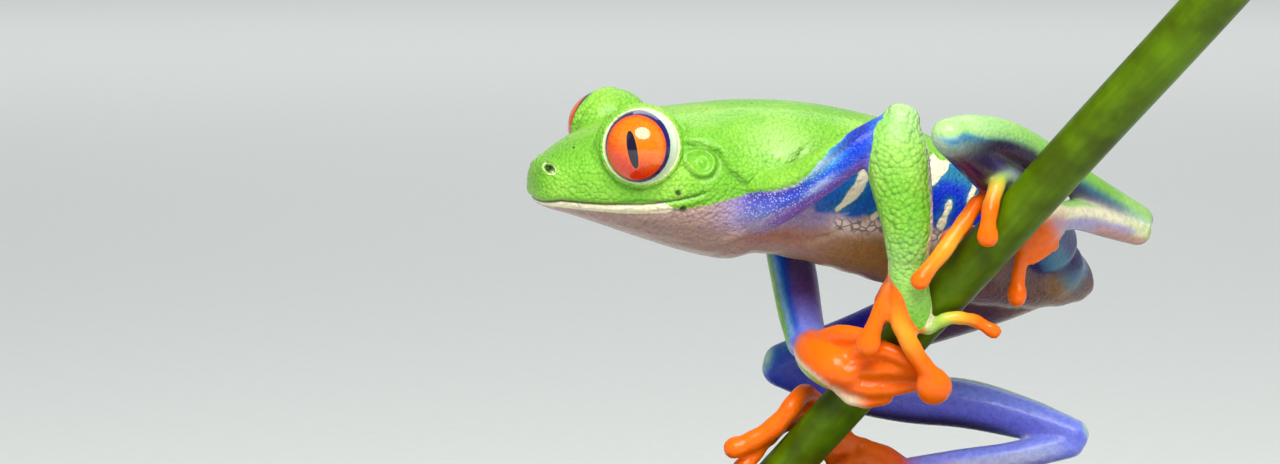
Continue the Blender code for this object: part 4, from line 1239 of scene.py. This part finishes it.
def moist_frog_skin(colours, sizes):
    """Skin of a living tree frog, granular on the back and smooth on the hands."""
    # Moist skin gives the eye many small soft sparks over matt green, one on each granule,
    # helped by a highlight painted on the granule tops, and whole highlights on the smooth
    # orange fingers; light sinks in and softens the folds
    mat, node = blank_material("moist_frog_skin")
    place = node("TexCoord", out="Object")
    under = node("Attribute", out="Color", attribute_name="under_colour")
    green_edge, pale_edge, soft_edge, grain, flecks, painted_sheen, shade, lids = (
        node("Attribute", out="Fac", attribute_name=name) for name in SKIN_FIELDS)
    # Sizes in millimetres.  Real granules are finer on the back; they are drawn at the size
    # they have on the arm, so that they show
    wander, fine, broad, blotch, scatter = (
        node("TexNoise", {"Vector": place, "Scale": PER_MM / size, "Detail": detail,
                          "Roughness": rough})
        for size, detail, rough in (
            (0.9, 3.0, 0.5), (0.35, 2.0, 0.5), (5.5, 2.0, 0.5), (0.6, 4.0, 0.65),
            (3.5, 2.0, 0.5)))
    cobble_size = sizes.granule * 2.2
    small, large, cobble, dot, speck, crack = (
        node("TexVoronoi", {"Vector": place, "Scale": PER_MM / size}, feature=feature)
        for size, feature in (
            (sizes.granule, "F1"), (sizes.granule * 1.35, "F1"), (cobble_size, "F1"),
            (0.26, "F1"), (2.4, "F1"), (cobble_size, "DISTANCE_TO_EDGE")))
    granules = node("Mix", {0: node("MapRange", (grain, 1.0, 1.25), **SMOOTH),
                            2: small, 3: large})
    granules = node("Mix", {0: node("MapRange", (grain, 1.52, 1.7), **SMOOTH),
                            2: granules, 3: cobble})

    # The border of the green wanders by a fifth of a millimetre
    edge = node("Math", (wander, 0.4, node("Math", (green_edge, -0.2), **PLUS)), **TIMES_PLUS)
    soft = node("Math", (soft_edge, 0.45, 0.09), **TIMES_PLUS)
    crisp = node("Math", (soft, -1.0), **TIMES)
    is_green = node("MapRange", (edge, crisp, soft), **SMOOTH)
    pale = node("Math", (fine, 0.16, pale_edge), **TIMES_PLUS)
    is_pale = node("MapRange", (pale, -0.01, 0.19), **SMOOTH)

    # Each layer's share is one smooth step times another.  Over the leaf green: lime clouds,
    # painted shade between the granules, a painted highlight on the tops of the rough skin's
    # granules, the painted sheen and sparse dark specks
    leaf, mottled = colours.leaf, under
    for share, other, paint in (
            ((broad, 0.35, 0.7), 1.0, colours.lime),
            ((granules, 0.25, 0.7), 0.25, [part * 0.6 for part in colours.leaf]),
            ((granules, 0.3, 0.05), (grain, 1.0, 1.5, 0.06, 0.26), hex_linear("#D6F26A")),
            ((fine, 0.3, 0.6, 0.6, 1.0), painted_sheen, hex_linear("#D6F4C6")),
            ((speck, 0.075, 0.055), (scatter, 0.52, 0.54), hex_linear("#303827"))):
        first = node("MapRange", share, **SMOOTH)
        second = node("MapRange", other, **SMOOTH) if isinstance(other, tuple) else other
        leaf = node("Mix", {0: node("Math", (first, second), **TIMES), 6: leaf, 7: paint},
                    **PAINT)
    # Over the colour under the green: blotches, pale dots and painted shade in the cracks between
    # the coarse granules
    for share, other, paint, blend in (
            ((blotch, 0.42, 0.62), (grain, 0.12, 0.3, 0.1, 0.36), "#B3BCE1", "MULTIPLY"),
            ((dot, 0.42, 0.15), flecks, "#E4E2F6", "MIX"),
            ((crack, 0.14, 0.03, 0.0, 0.7), (grain, 1.25, 1.7), "#3A3848", "MIX")):
        first = node("MapRange", share, **SMOOTH)
        second = node("MapRange", other, **SMOOTH) if isinstance(other, tuple) else other
        mottled = node("Mix", {0: node("Math", (first, second), **TIMES), 6: mottled,
                               7: hex_linear(paint)}, blend_type=blend, **PAINT)

    # The wet margin of the lids, a thin pale line at one distance from the eye's centre
    to_eyes = [node("VectorMath", (place, BODY_FRAME @ on_side(EYE_CENTRE, side) * MM),
                    "Value", operation="DISTANCE") for side in SIDES]
    to_eye = node("Math", to_eyes, operation="MINIMUM")
    past_eye = node("Math", (to_eye, -(sizes.eye_radius + 0.05) * MM), **PLUS)
    off_line = node("Math", (past_eye,), operation="ABSOLUTE")
    margin = node("MapRange", (off_line, 0.13 * MM, 0.07 * MM, 0.0, 0.8), **SMOOTH)
    margin = node("Math", (margin, lids), **TIMES)
    # Then cream, the green, near black for the painted shade of the nostrils, mouth line and ear
    # furrows and for the real specks, and the lid margin
    skin = mottled
    for share, paint in ((is_pale, colours.cream), (is_green, leaf),
                         (shade, hex_linear("#1D1F19")), (margin, colours.cream)):
        skin = node("Mix", {0: share, 6: skin, 7: paint}, **PAINT)

    domes = node("Math", (granules, granules), **TIMES)
    relief = node("Math", (domes, -1.8, node("Math", (fine, 0.3), **TIMES)), **TIMES_PLUS)
    relief = node("Math", (relief, node("Math", (grain, 0.05), **PLUS)), **TIMES)
    rough = node("Math", (grain, 0.06, 0.3), **TIMES_PLUS)
    shader = node("BsdfPrincipled", {
        "Base Color": skin, "Roughness": node("Math", (broad, 0.1, rough), **TIMES_PLUS),
        "Normal": node("Bump", {"Height": relief, "Strength": 1.0, "Distance": 0.085 * MM}),
        "Subsurface Weight": 0.15, "Subsurface Radius": (1.0, 0.5, 0.2),
        "Subsurface Scale": 0.5 * MM, "Specular IOR Level": 0.25, "IOR": 1.4,
        "Coat Weight": 0.38, "Coat Roughness": 0.12, "Coat IOR": 1.4})
    node("OutputMaterial", (shader,))
    return mat


# ---------------------------------------------------------------- eyes

IRIS = (-0.50, -0.10, 3.0, 3.28)       # centre and half sizes, millimetres across the gaze
RING = (-0.33, 0.03, 3.31, 3.69)
PUPIL = ((-0.57, -2.28), (-0.93, -0.2), (-1.13, 1.56))
PUPIL_HALF_WIDTH = 0.5
CORNEA_START = 0.55                    # cosine from the gaze where the cornea begins
CORNEA_BULGE = 0.12
OUTSIDE = -3.0                         # depth given to the back of the ball


def ellipse_depth(across, up, ellipse):
    """Millimetres inside an ellipse's edge, negative outside."""
    level = np.hypot((across - ellipse[0]) / ellipse[2], (up - ellipse[1]) / ellipse[3])
    return (1 - level) * (ellipse[2] + ellipse[3]) / 2


def pupil_depth(across, up):
    """Millimetres inside the slit pupil's edge."""
    low, _, high = PUPIL
    curve = np.polyfit([p[1] for p in PUPIL], [p[0] for p in PUPIL], 2)
    half_length = (high[1] - low[1]) / 2
    t = (up - (high[1] + low[1]) / 2) / half_length
    width = PUPIL_HALF_WIDTH * np.sqrt(np.maximum(1 - np.abs(t) ** 2.2, 0.0))
    depth = width - np.abs(across - np.polyval(curve, np.clip(up, low[1], high[1])))
    return np.where(np.abs(t) < 1, depth, np.minimum(depth, (1 - np.abs(t)) * half_length))


def eye_mesh(side, radius):
    """An eyeball whose pole looks along the gaze, with its iris plane as attributes."""
    gaze = GAZES[side]
    rear = (Vector((1, 0, 0)) - gaze * gaze.x).normalized()
    up = rear.cross(gaze).normalized()
    up = up if up.z > 0 else -up
    bm = bmesh.new()
    turn = gaze.to_track_quat("Z", "Y").to_matrix().to_4x4()
    bmesh.ops.create_uvsphere(bm, u_segments=176, v_segments=120, radius=radius, matrix=turn)
    for vert in bm.verts:
        ahead = vert.co.normalized().dot(gaze) - CORNEA_START
        bulge = max(0.0, ahead) / (1 - CORNEA_START)
        vert.co += gaze * (CORNEA_BULGE * bulge * bulge)
    offsets = np.array([vert.co[:] for vert in bm.verts])
    place = BODY_FRAME @ Matrix.Translation(on_side(EYE_CENTRE, side))
    bmesh.ops.transform(bm, matrix=place, verts=bm.verts)
    bmesh.ops.recalc_face_normals(bm, faces=bm.faces)
    mesh = mesh_from(bm, "eye")
    across, height, depth = (offsets @ np.array(axis) for axis in (rear, up, gaze))
    for name, inside in (("iris_edge", ellipse_depth(across, height, IRIS)),
                         ("ring_edge", ellipse_depth(across, height, RING)),
                         ("pupil_edge", pupil_depth(across, height))):
        store(mesh, name, np.where(depth > 0, inside, OUTSIDE))
    ray = np.stack((across - IRIS[0], height - IRIS[1]), axis=1)
    reach = np.maximum(np.linalg.norm(ray, axis=1), 0.05)
    store(mesh, "iris_ray", np.stack((ray[:, 0] / reach, ray[:, 1] / reach, reach * 0.12), 1))
    store(mesh, "iris_place", np.stack((across, height, np.zeros(len(reach))), axis=1))
    return mesh


def wet_eye(colours):
    """Eye of a tree frog: red iris with fine rays, slit pupil, dark ring and pale rim."""
    # The clear wet cornea gives the eye one sharp mirror of the lamp over a glowing iris
    mat, node = blank_material("wet_eye_cornea")
    ray, spot = (node("Attribute", out="Vector", attribute_name=name)
                 for name in ("iris_ray", "iris_place"))
    iris_edge, ring_edge, pupil_edge = (
        node("Attribute", out="Fac", attribute_name=name)
        for name in ("iris_edge", "ring_edge", "pupil_edge"))
    # Some ninety rays round the iris, and clouds a third of a millimetre across
    rays = node("TexNoise", {"Vector": ray, "Scale": 14.0, "Detail": 5.0, "Roughness": 0.65})
    clouds = node("TexNoise", {"Vector": spot, "Scale": 3.2, "Detail": 4.0})
    low = node("VectorMath", (spot, (-0.35, -0.7, 0.0)), "Value", operation="DOT_PRODUCT")
    low = node("Math", (clouds, 1.2, low), **TIMES_PLUS)
    ring = node("Math", (clouds, 0.1, ring_edge), **TIMES_PLUS)

    iris = colours.iris
    for share, paint, blend in (
            ((low, 0.2, 3.0), colours.iris_rim, "MIX"),
            ((rays, 0.35, 0.7, 0.0, 0.6), hex_linear("#CEA095"), "MULTIPLY"),
            ((iris_edge, 0.5, 0.0, 0.0, 0.6), colours.iris_rim, "MIX")):
        iris = node("Mix", {0: node("MapRange", share, **SMOOTH), 6: iris, 7: paint},
                    blend_type=blend, **PAINT)
    # From the rim inwards: its white over its shaded edge, the dark ring, the iris, the gold
    # line round the pupil and the pupil
    ball = hex_linear("#CBDFCB")
    for share, paint in (
            ((ring, 0.0, -0.5), hex_linear("#F9F7E7")), ((ring, 0.02, 0.14), colours.limbus),
            ((iris_edge, -0.05, 0.05), iris),
            ((pupil_edge, -0.13, -0.05, 0.0, 0.2), hex_linear("#F9AD45")),
            ((pupil_edge, -0.05, 0.04), hex_linear("#160D29"))):
        ball = node("Mix", {0: node("MapRange", share, **SMOOTH), 6: ball, 7: paint}, **PAINT)
    shader = node("BsdfPrincipled", {
        "Base Color": ball, "Roughness": 0.3, "Specular IOR Level": 0.1,
        "Coat Weight": 1.0, "Coat Roughness": 0.03, "Coat IOR": 1.6})
    node("OutputMaterial", (shader,))
    return mat


# ---------------------------------------------------------------- perch and stand

POLE_GAP = 0.0005          # points of a lathed piece that are closer than this are one


def lathed(profile, steps):
    """A closed solid of revolution from rows of radius and height."""
    bm = bmesh.new()
    verts = [bm.verts.new((radius, 0.0, height)) for radius, height in profile]
    edges = [bm.edges.new(pair) for pair in zip(verts, verts[1:])]
    bmesh.ops.spin(bm, geom=verts + edges, cent=(0, 0, 0), axis=(0, 0, 1), steps=steps,
                   angle=2 * math.pi, use_merge=True)
    bmesh.ops.remove_doubles(bm, verts=bm.verts, dist=POLE_GAP)
    bmesh.ops.recalc_face_normals(bm, faces=bm.faces)
    return bm


# Distance from a cut end of the stem and share of its radius there
CUT_EDGE = ((0.0, 0.0), (0.0, 0.9), (0.05, 0.97), (0.18, 1.0))
STEM_ROWS = 110
STEM_STEPS = 64


def stem_mesh(sizes):
    """A fresh stem: lathed, with faint ribs, a slow wave along its length and slightly rounded cut
    ends.
    """
    bevel = CUT_EDGE[-1][0]
    rows = [*CUT_EDGE,
            *((bevel + (STEM_LENGTH - 2 * bevel) * i / STEM_ROWS, 1.0)
              for i in range(1, STEM_ROWS)),
            *((STEM_LENGTH - along, share) for along, share in reversed(CUT_EDGE))]
    swell = sizes.upper_radius - sizes.lower_radius
    bm = lathed([((sizes.lower_radius + swell * along / STEM_LENGTH) * share, along)
                 for along, share in rows], STEM_STEPS)
    for vert in bm.verts:
        turn = math.atan2(vert.co.y, vert.co.x)
        along = vert.co.z
        if 0.1 < along < STEM_LENGTH - 0.1:
            rib = (0.018 * math.sin(turn * 11 + 0.03 * along)
                   + 0.03 * math.sin(along * 0.21 + turn) - 0.03)
            vert.co.xy *= 1 + rib / math.hypot(vert.co.x, vert.co.y)
    lathe_place = np.array([vert.co[:] for vert in bm.verts])
    turn = STEM_AXIS.to_track_quat("Z", "Y").to_matrix().to_4x4()
    bmesh.ops.transform(bm, matrix=Matrix.Translation(STEM_LOWER_END) @ turn, verts=bm.verts)
    mesh = mesh_from(bm, "stem")
    store(mesh, "stem_place", lathe_place)
    ends = np.minimum(lathe_place[:, 2], STEM_LENGTH - lathe_place[:, 2])
    store(mesh, "cut_end", 1.0 - ramp(ends, 0.02, 0.3))
    return mesh


def fresh_green_stem(colours):
    """Skin of a fresh stem with lengthwise fibres, brown specks and pale cut ends."""
    # A waxy living skin gives the eye a broad soft shine that the fibres streak lengthwise
    mat, node = blank_material("fresh_green_stem")
    # Millimetres in the lathe's own frame, so the fibres run along the stem
    place = node("Attribute", out="Vector", attribute_name="stem_place")
    end = node("Attribute", out="Fac", attribute_name="cut_end")
    # Fibres 0.6 mm apart and 5 mm long, drawn coarser than the real ones so that they show
    long_way = node("Mapping", {"Vector": place, "Scale": (1 / 0.625, 1 / 0.625, 1 / 5.0)})
    fibres = node("TexNoise", {"Vector": long_way, "Scale": 1.0, "Detail": 3.0})
    blotch = node("TexNoise", {"Vector": place, "Scale": 1 / 4.55, "Detail": 3.0})
    specks = node("TexVoronoi", {"Vector": place, "Scale": 1 / 0.77})
    pith = node("Mix", {0: node("MapRange", (specks, 0.1, 0.5), **SMOOTH),
                        6: colours.pith, 7: hex_linear("#BCBC7C")}, **PAINT)
    bark = colours.stem_shade
    for share, paint in (
            ((blotch, 0.25, 0.75), colours.stem),
            ((fibres, 0.35, 0.7, 0.0, 0.3), colours.stem_shade),
            ((specks, 0.1, 0.05, 0.0, 0.5), hex_linear("#615930")), ((end, 0.4, 0.9), pith)):
        bark = node("Mix", {0: node("MapRange", share, **SMOOTH), 6: bark, 7: paint}, **PAINT)
    shader = node("BsdfPrincipled", {
        "Base Color": bark,
        "Roughness": node("MapRange", (fibres, 0.3, 0.7, 0.45, 0.36), **SMOOTH),
        "Normal": node("Bump", {"Height": fibres, "Strength": 0.35, "Distance": 0.12 * MM}),
        "Specular IOR Level": 0.12, "Subsurface Weight": 0.1,
        "Subsurface Radius": (0.6, 1.0, 0.2), "Subsurface Scale": 0.5 * MM,
        "Coat Weight": 0.08, "Coat Roughness": 0.3})
    node("OutputMaterial", (shader,))
    return mat


RIM_STEPS = 6              # rows of points round a quarter of the base's rim


def base_mesh(sizes):
    """A lathed disc with a rounded rim."""
    radius, height, edge = sizes.base_radius, sizes.base_height, sizes.base_round
    turns = [math.pi / 2 * step / RIM_STEPS for step in range(RIM_STEPS + 1)]
    lower = [(radius - edge + edge * math.sin(turn), edge - edge * math.cos(turn))
             for turn in turns]
    upper = [(radius - edge + edge * math.cos(turn), height - edge + edge * math.sin(turn))
             for turn in turns]
    profile = [(0.0, 0.0), (radius / 2, 0.0), *lower, *upper, (radius / 2, height), (0.0, height)]
    return mesh_from(lathed(profile, sizes.rim_segments), "base")


def satin_black_enamel(colours):
    """Black stoving enamel on the steel base, sprayed and baked."""
    # Satin enamel gives the eye a dim, broad reflection, dimpled like orange peel and
    # crossed by a few fine scratches
    mat, node = blank_material("satin_black_enamel")
    place = node("TexCoord", out="Object")
    peel = node("TexNoise", {"Vector": place, "Scale": PER_MM / 1.2, "Detail": 1.0})
    one_way = node("Mapping", {"Vector": place, "Scale": (1, 0.04, 1), "Rotation": (0, 0, 0.5)})
    scratches = node("TexNoise", {"Vector": one_way, "Scale": PER_MM / 0.5, "Detail": 2.0})
    scratched = node("MapRange", (scratches, 0.66, 0.72, 0.0, 0.25), **SMOOTH)
    enamel = node("Mix", {0: scratched, 6: colours.enamel, 7: hex_linear("#454548")}, **PAINT)
    shader = node("BsdfPrincipled", {
        "Base Color": enamel,
        "Roughness": node("MapRange", (scratches, 0.3, 0.75, 0.4, 0.3), **SMOOTH),
        "Normal": node("Bump", {"Height": peel, "Strength": 0.25, "Distance": 0.05 * MM}),
        "Coat Weight": 0.15, "Coat Roughness": 0.25})
    node("OutputMaterial", (shader,))
    return mat


def brushed_stainless_steel(colours):
    """Stainless steel rod, brushed round its length."""
    # Brushing gives the eye a bright metal whose highlight is drawn out along the rod;
    # the rings are drawn 0.12 mm apart, coarser than the real grit, so that they show
    mat, node = blank_material("brushed_stainless_steel")
    place = node("TexCoord", out="Object")
    rings = node("Mapping", {"Vector": place, "Scale": (0.05, 0.05, 1.0)})
    brushed = node("TexNoise", {"Vector": rings, "Scale": PER_MM / 0.12, "Detail": 3.0})
    dulled = node("MapRange", (brushed, 0.3, 0.7, 0.0, 0.35), **SMOOTH)
    steel = node("Mix", {0: dulled, 6: colours.steel, 7: hex_linear("#99999B")}, **PAINT)
    shader = node("BsdfPrincipled", {
        "Base Color": steel, "Metallic": 1.0,
        "Roughness": node("MapRange", (brushed, 0.3, 0.7, 0.24, 0.38), **SMOOTH),
        "Normal": node("Bump", {"Height": brushed, "Strength": 0.3, "Distance": 0.02 * MM})})
    node("OutputMaterial", (shader,))
    return mat


# ---------------------------------------------------------------- studio

CAMERA_TARGET = Vector((-0.022, 0.002, 0.054))
CAMERA_DISTANCE = 0.37333
CAMERA_TILT = math.radians(6)
# The paper sweep in metres: where its floor starts, is flat up to, and bends up
SWEEP_FRONT, SWEEP_FLAT, SWEEP_BEND = -1.6, 0.4, 2.6
SWEEP_RADIUS, SWEEP_HEIGHT, SWEEP_HALF_WIDTH = 0.8, 3.2, 4.0
SWEEP_STEPS = 12


def aimed(obj, direction):
    """Turn a light or camera to look along a direction."""
    obj.rotation_euler = direction.to_track_quat("-Z", "Y").to_euler()


def softbox(name, azimuth, elevation, distance, width, height, power, tint="#FFFFFF"):
    """A soft rectangular light aimed at the frog; azimuth 0 is on the camera's side."""
    data = bpy.data.lights.new(name, "AREA")
    data.shape = "RECTANGLE"
    data.size = width
    data.size_y = height
    data.energy = power
    data.color = hex_linear(tint)
    light = linked_object(name, data)
    turn, rise = math.radians(azimuth), math.radians(elevation)
    away = Vector((math.sin(turn) * math.cos(rise), -math.cos(turn) * math.cos(rise),
                   math.sin(rise)))
    light.location = CAMERA_TARGET + away * distance
    aimed(light, -away)
    return light


def matt_studio_paper(colours):
    """Pale background paper, rolled and uncoated."""
    # Matt paper gives the eye no reflection at all, only a faint cloud of its fibres
    mat, node = blank_material("matt_studio_paper")
    # Clouds of fibre 3 mm across, coarser than real fibres so that they show
    fibre = node("TexNoise", {"Vector": node("TexCoord", out="Object"),
                              "Scale": PER_MM / 3.0, "Detail": 3.0})
    cloud = node("MapRange", (fibre, 0.3, 0.7, 0.0, 0.06), **SMOOTH)
    paper = node("Mix", {0: cloud, 6: colours.floor, 7: hex_linear("#BCBCBC")}, **PAINT)
    node("OutputMaterial", (node("BsdfPrincipled", {"Base Color": paper, "Roughness": 0.85}),))
    return mat


def backdrop_mesh():
    """A paper sweep: a floor that curves up into a wall, in metres."""
    turns = [math.pi / 2 * step / SWEEP_STEPS for step in range(SWEEP_STEPS + 1)]
    profile = [(SWEEP_FRONT, 0.0), (SWEEP_FLAT, 0.0),
               *((SWEEP_BEND + SWEEP_RADIUS * math.sin(turn),
                  SWEEP_RADIUS - SWEEP_RADIUS * math.cos(turn)) for turn in turns),
               (SWEEP_BEND + SWEEP_RADIUS, SWEEP_HEIGHT)]
    bm = bmesh.new()
    verts = [bm.verts.new((-SWEEP_HALF_WIDTH, y, z)) for y, z in profile]
    edges = [bm.edges.new(pair) for pair in zip(verts, verts[1:])]
    swept = bmesh.ops.extrude_edge_only(bm, edges=edges)
    moved = [item for item in swept["geom"] if isinstance(item, bmesh.types.BMVert)]
    bmesh.ops.translate(bm, verts=moved, vec=(2 * SWEEP_HALF_WIDTH, 0.0, 0.0))
    mesh = mesh_from(bm, "backdrop")
    mesh.shade_smooth()
    return mesh


def build_studio(colours):
    """The paper sweep, the air's faint light, five softboxes and the camera."""
    scene = bpy.context.scene
    backdrop = linked_object("studio_sweep", backdrop_mesh())
    backdrop.data.materials.append(matt_studio_paper(colours))

    world = bpy.data.worlds.new("studio_air")
    world.use_nodes = True
    background = world.node_tree.nodes["Background"]
    background.inputs["Color"].default_value = (*hex_linear("#E7F1FF"), 1.0)
    background.inputs["Strength"].default_value = 0.22
    scene.world = world

    key = softbox("key", 6.0, 50.0, 0.55, 0.46, 0.4, 5.0, "#FFFDF8")
    key.rotation_euler.rotate_axis("Z", math.radians(-24.0))
    key.data.shape = "ELLIPSE"
    softbox("fill_left", -65.0, 20.0, 0.8, 0.5, 0.7, 0.5, "#F3F9FF")
    softbox("fill_right", 70.0, 15.0, 0.8, 0.5, 0.7, 0.4, "#F9FCFF")
    softbox("rim", 165.0, 48.0, 0.8, 0.6, 0.3, 1.2)
    wash = softbox("wash", 180.0, 47.0, 1.85, 3.0, 1.6, 31.0)
    aimed(wash, Vector((0.0, 1.0, -0.88)))

    data = bpy.data.cameras.new("camera")
    data.lens = 100.0
    data.sensor_width = 36.0
    data.clip_start = 0.01
    camera = linked_object("camera", data)
    look = Vector((0.0, math.cos(CAMERA_TILT), -math.sin(CAMERA_TILT)))
    camera.location = CAMERA_TARGET - look * CAMERA_DISTANCE
    aimed(camera, look)
    scene.camera = camera
    scene.view_settings.view_transform = "Standard"


# ---------------------------------------------------------------- operators

class FROG_OT_skin(bpy.types.Operator):
    """Build the frog's skin over every part of its flesh"""
    bl_idname = "frog.build_skin"
    bl_label = "Frog Skin"
    bl_options = {"REGISTER", "UNDO"}

    def execute(self, context):
        sizes, colours = in_millimetres(context.scene.frog_sizes), context.scene.frog_colours
        finished("frog_skin", skin_mesh(sizes, colours), moist_frog_skin(colours, sizes),
                 "leaf_green_skin", *FLESH_NODES)
        return {"FINISHED"}


class FROG_OT_eyes(bpy.types.Operator):
    """Build both eyes with their iris, pupil and rim"""
    bl_idname = "frog.build_eyes"
    bl_label = "Frog Eyes"
    bl_options = {"REGISTER", "UNDO"}

    def execute(self, context):
        radius = in_millimetres(context.scene.frog_sizes).eye_radius
        material = wet_eye(context.scene.frog_colours)
        for name, side in zip(("left_eye", "right_eye"), SIDES):
            finished(name + "_ball", eye_mesh(side, radius), material, "red_eye", name)
        return {"FINISHED"}


class PERCH_OT_stem(bpy.types.Operator):
    """Build the cut stem that the frog holds"""
    bl_idname = "perch.build_stem"
    bl_label = "Perch Stem"
    bl_options = {"REGISTER", "UNDO"}

    def execute(self, context):
        finished("cut_stem", stem_mesh(in_millimetres(context.scene.perch_sizes)),
                 fresh_green_stem(context.scene.perch_colours), "stem_bark", "perch_stem")
        return {"FINISHED"}


class PERCH_OT_stand(bpy.types.Operator):
    """Build the round base and finish the steel rod"""
    bl_idname = "perch.build_stand"
    bl_label = "Display Stand"
    bl_options = {"REGISTER", "UNDO"}

    def execute(self, context):
        colours = context.scene.perch_colours
        finished("stand_base_disc", base_mesh(in_millimetres(context.scene.perch_sizes)),
                 satin_black_enamel(colours), "satin_black_enamel", "stand_base")
        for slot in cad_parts["stand_rod"].material_slots:
            slot.material = brushed_stainless_steel(colours)
        return {"FINISHED"}


class PERCH_OT_studio(bpy.types.Operator):
    """Set up the paper sweep, the lights and the camera"""
    bl_idname = "perch.build_studio"
    bl_label = "Studio"
    bl_options = {"REGISTER", "UNDO"}

    def execute(self, context):
        build_studio(context.scene.perch_colours)
        return {"FINISHED"}


SETTINGS = {"frog_sizes": FrogSizes, "frog_colours": FrogColours, "perch_sizes": PerchSizes,
            "perch_colours": PerchColours}
OPERATORS = (PERCH_OT_stand, PERCH_OT_stem, FROG_OT_eyes, FROG_OT_skin, PERCH_OT_studio)


class FROG_PT_panel(bpy.types.Panel):
    """Settings and steps of the tree frog model"""
    bl_label = "Tree Frog"
    bl_idname = "FROG_PT_panel"
    bl_space_type = "VIEW_3D"
    bl_region_type = "UI"
    bl_category = "Tree Frog"

    def draw(self, context):
        for name, group in SETTINGS.items():
            box = self.layout.box()
            for key in group.__annotations__:
                box.prop(getattr(context.scene, name), key)
        for operator in OPERATORS:
            self.layout.operator(operator.bl_idname)


CLASSES = (*SETTINGS.values(), *OPERATORS, FROG_PT_panel)


def register():
    """Register the classes and hang the settings on the scene."""
    for item in CLASSES:
        bpy.utils.register_class(item)
    for name, group in SETTINGS.items():
        setattr(bpy.types.Scene, name, PointerProperty(type=group))


def unregister():
    """Take the settings and classes away again."""
    for name in SETTINGS:
        delattr(bpy.types.Scene, name)
    for item in reversed(CLASSES):
        bpy.utils.unregister_class(item)


def main():
    """Build every piece and the stage."""
    register()
    bpy.ops.perch.build_stand()
    bpy.ops.perch.build_stem()
    bpy.ops.frog.build_eyes()
    bpy.ops.frog.build_skin()
    bpy.ops.perch.build_studio()


if __name__ == "__main__":
    main()
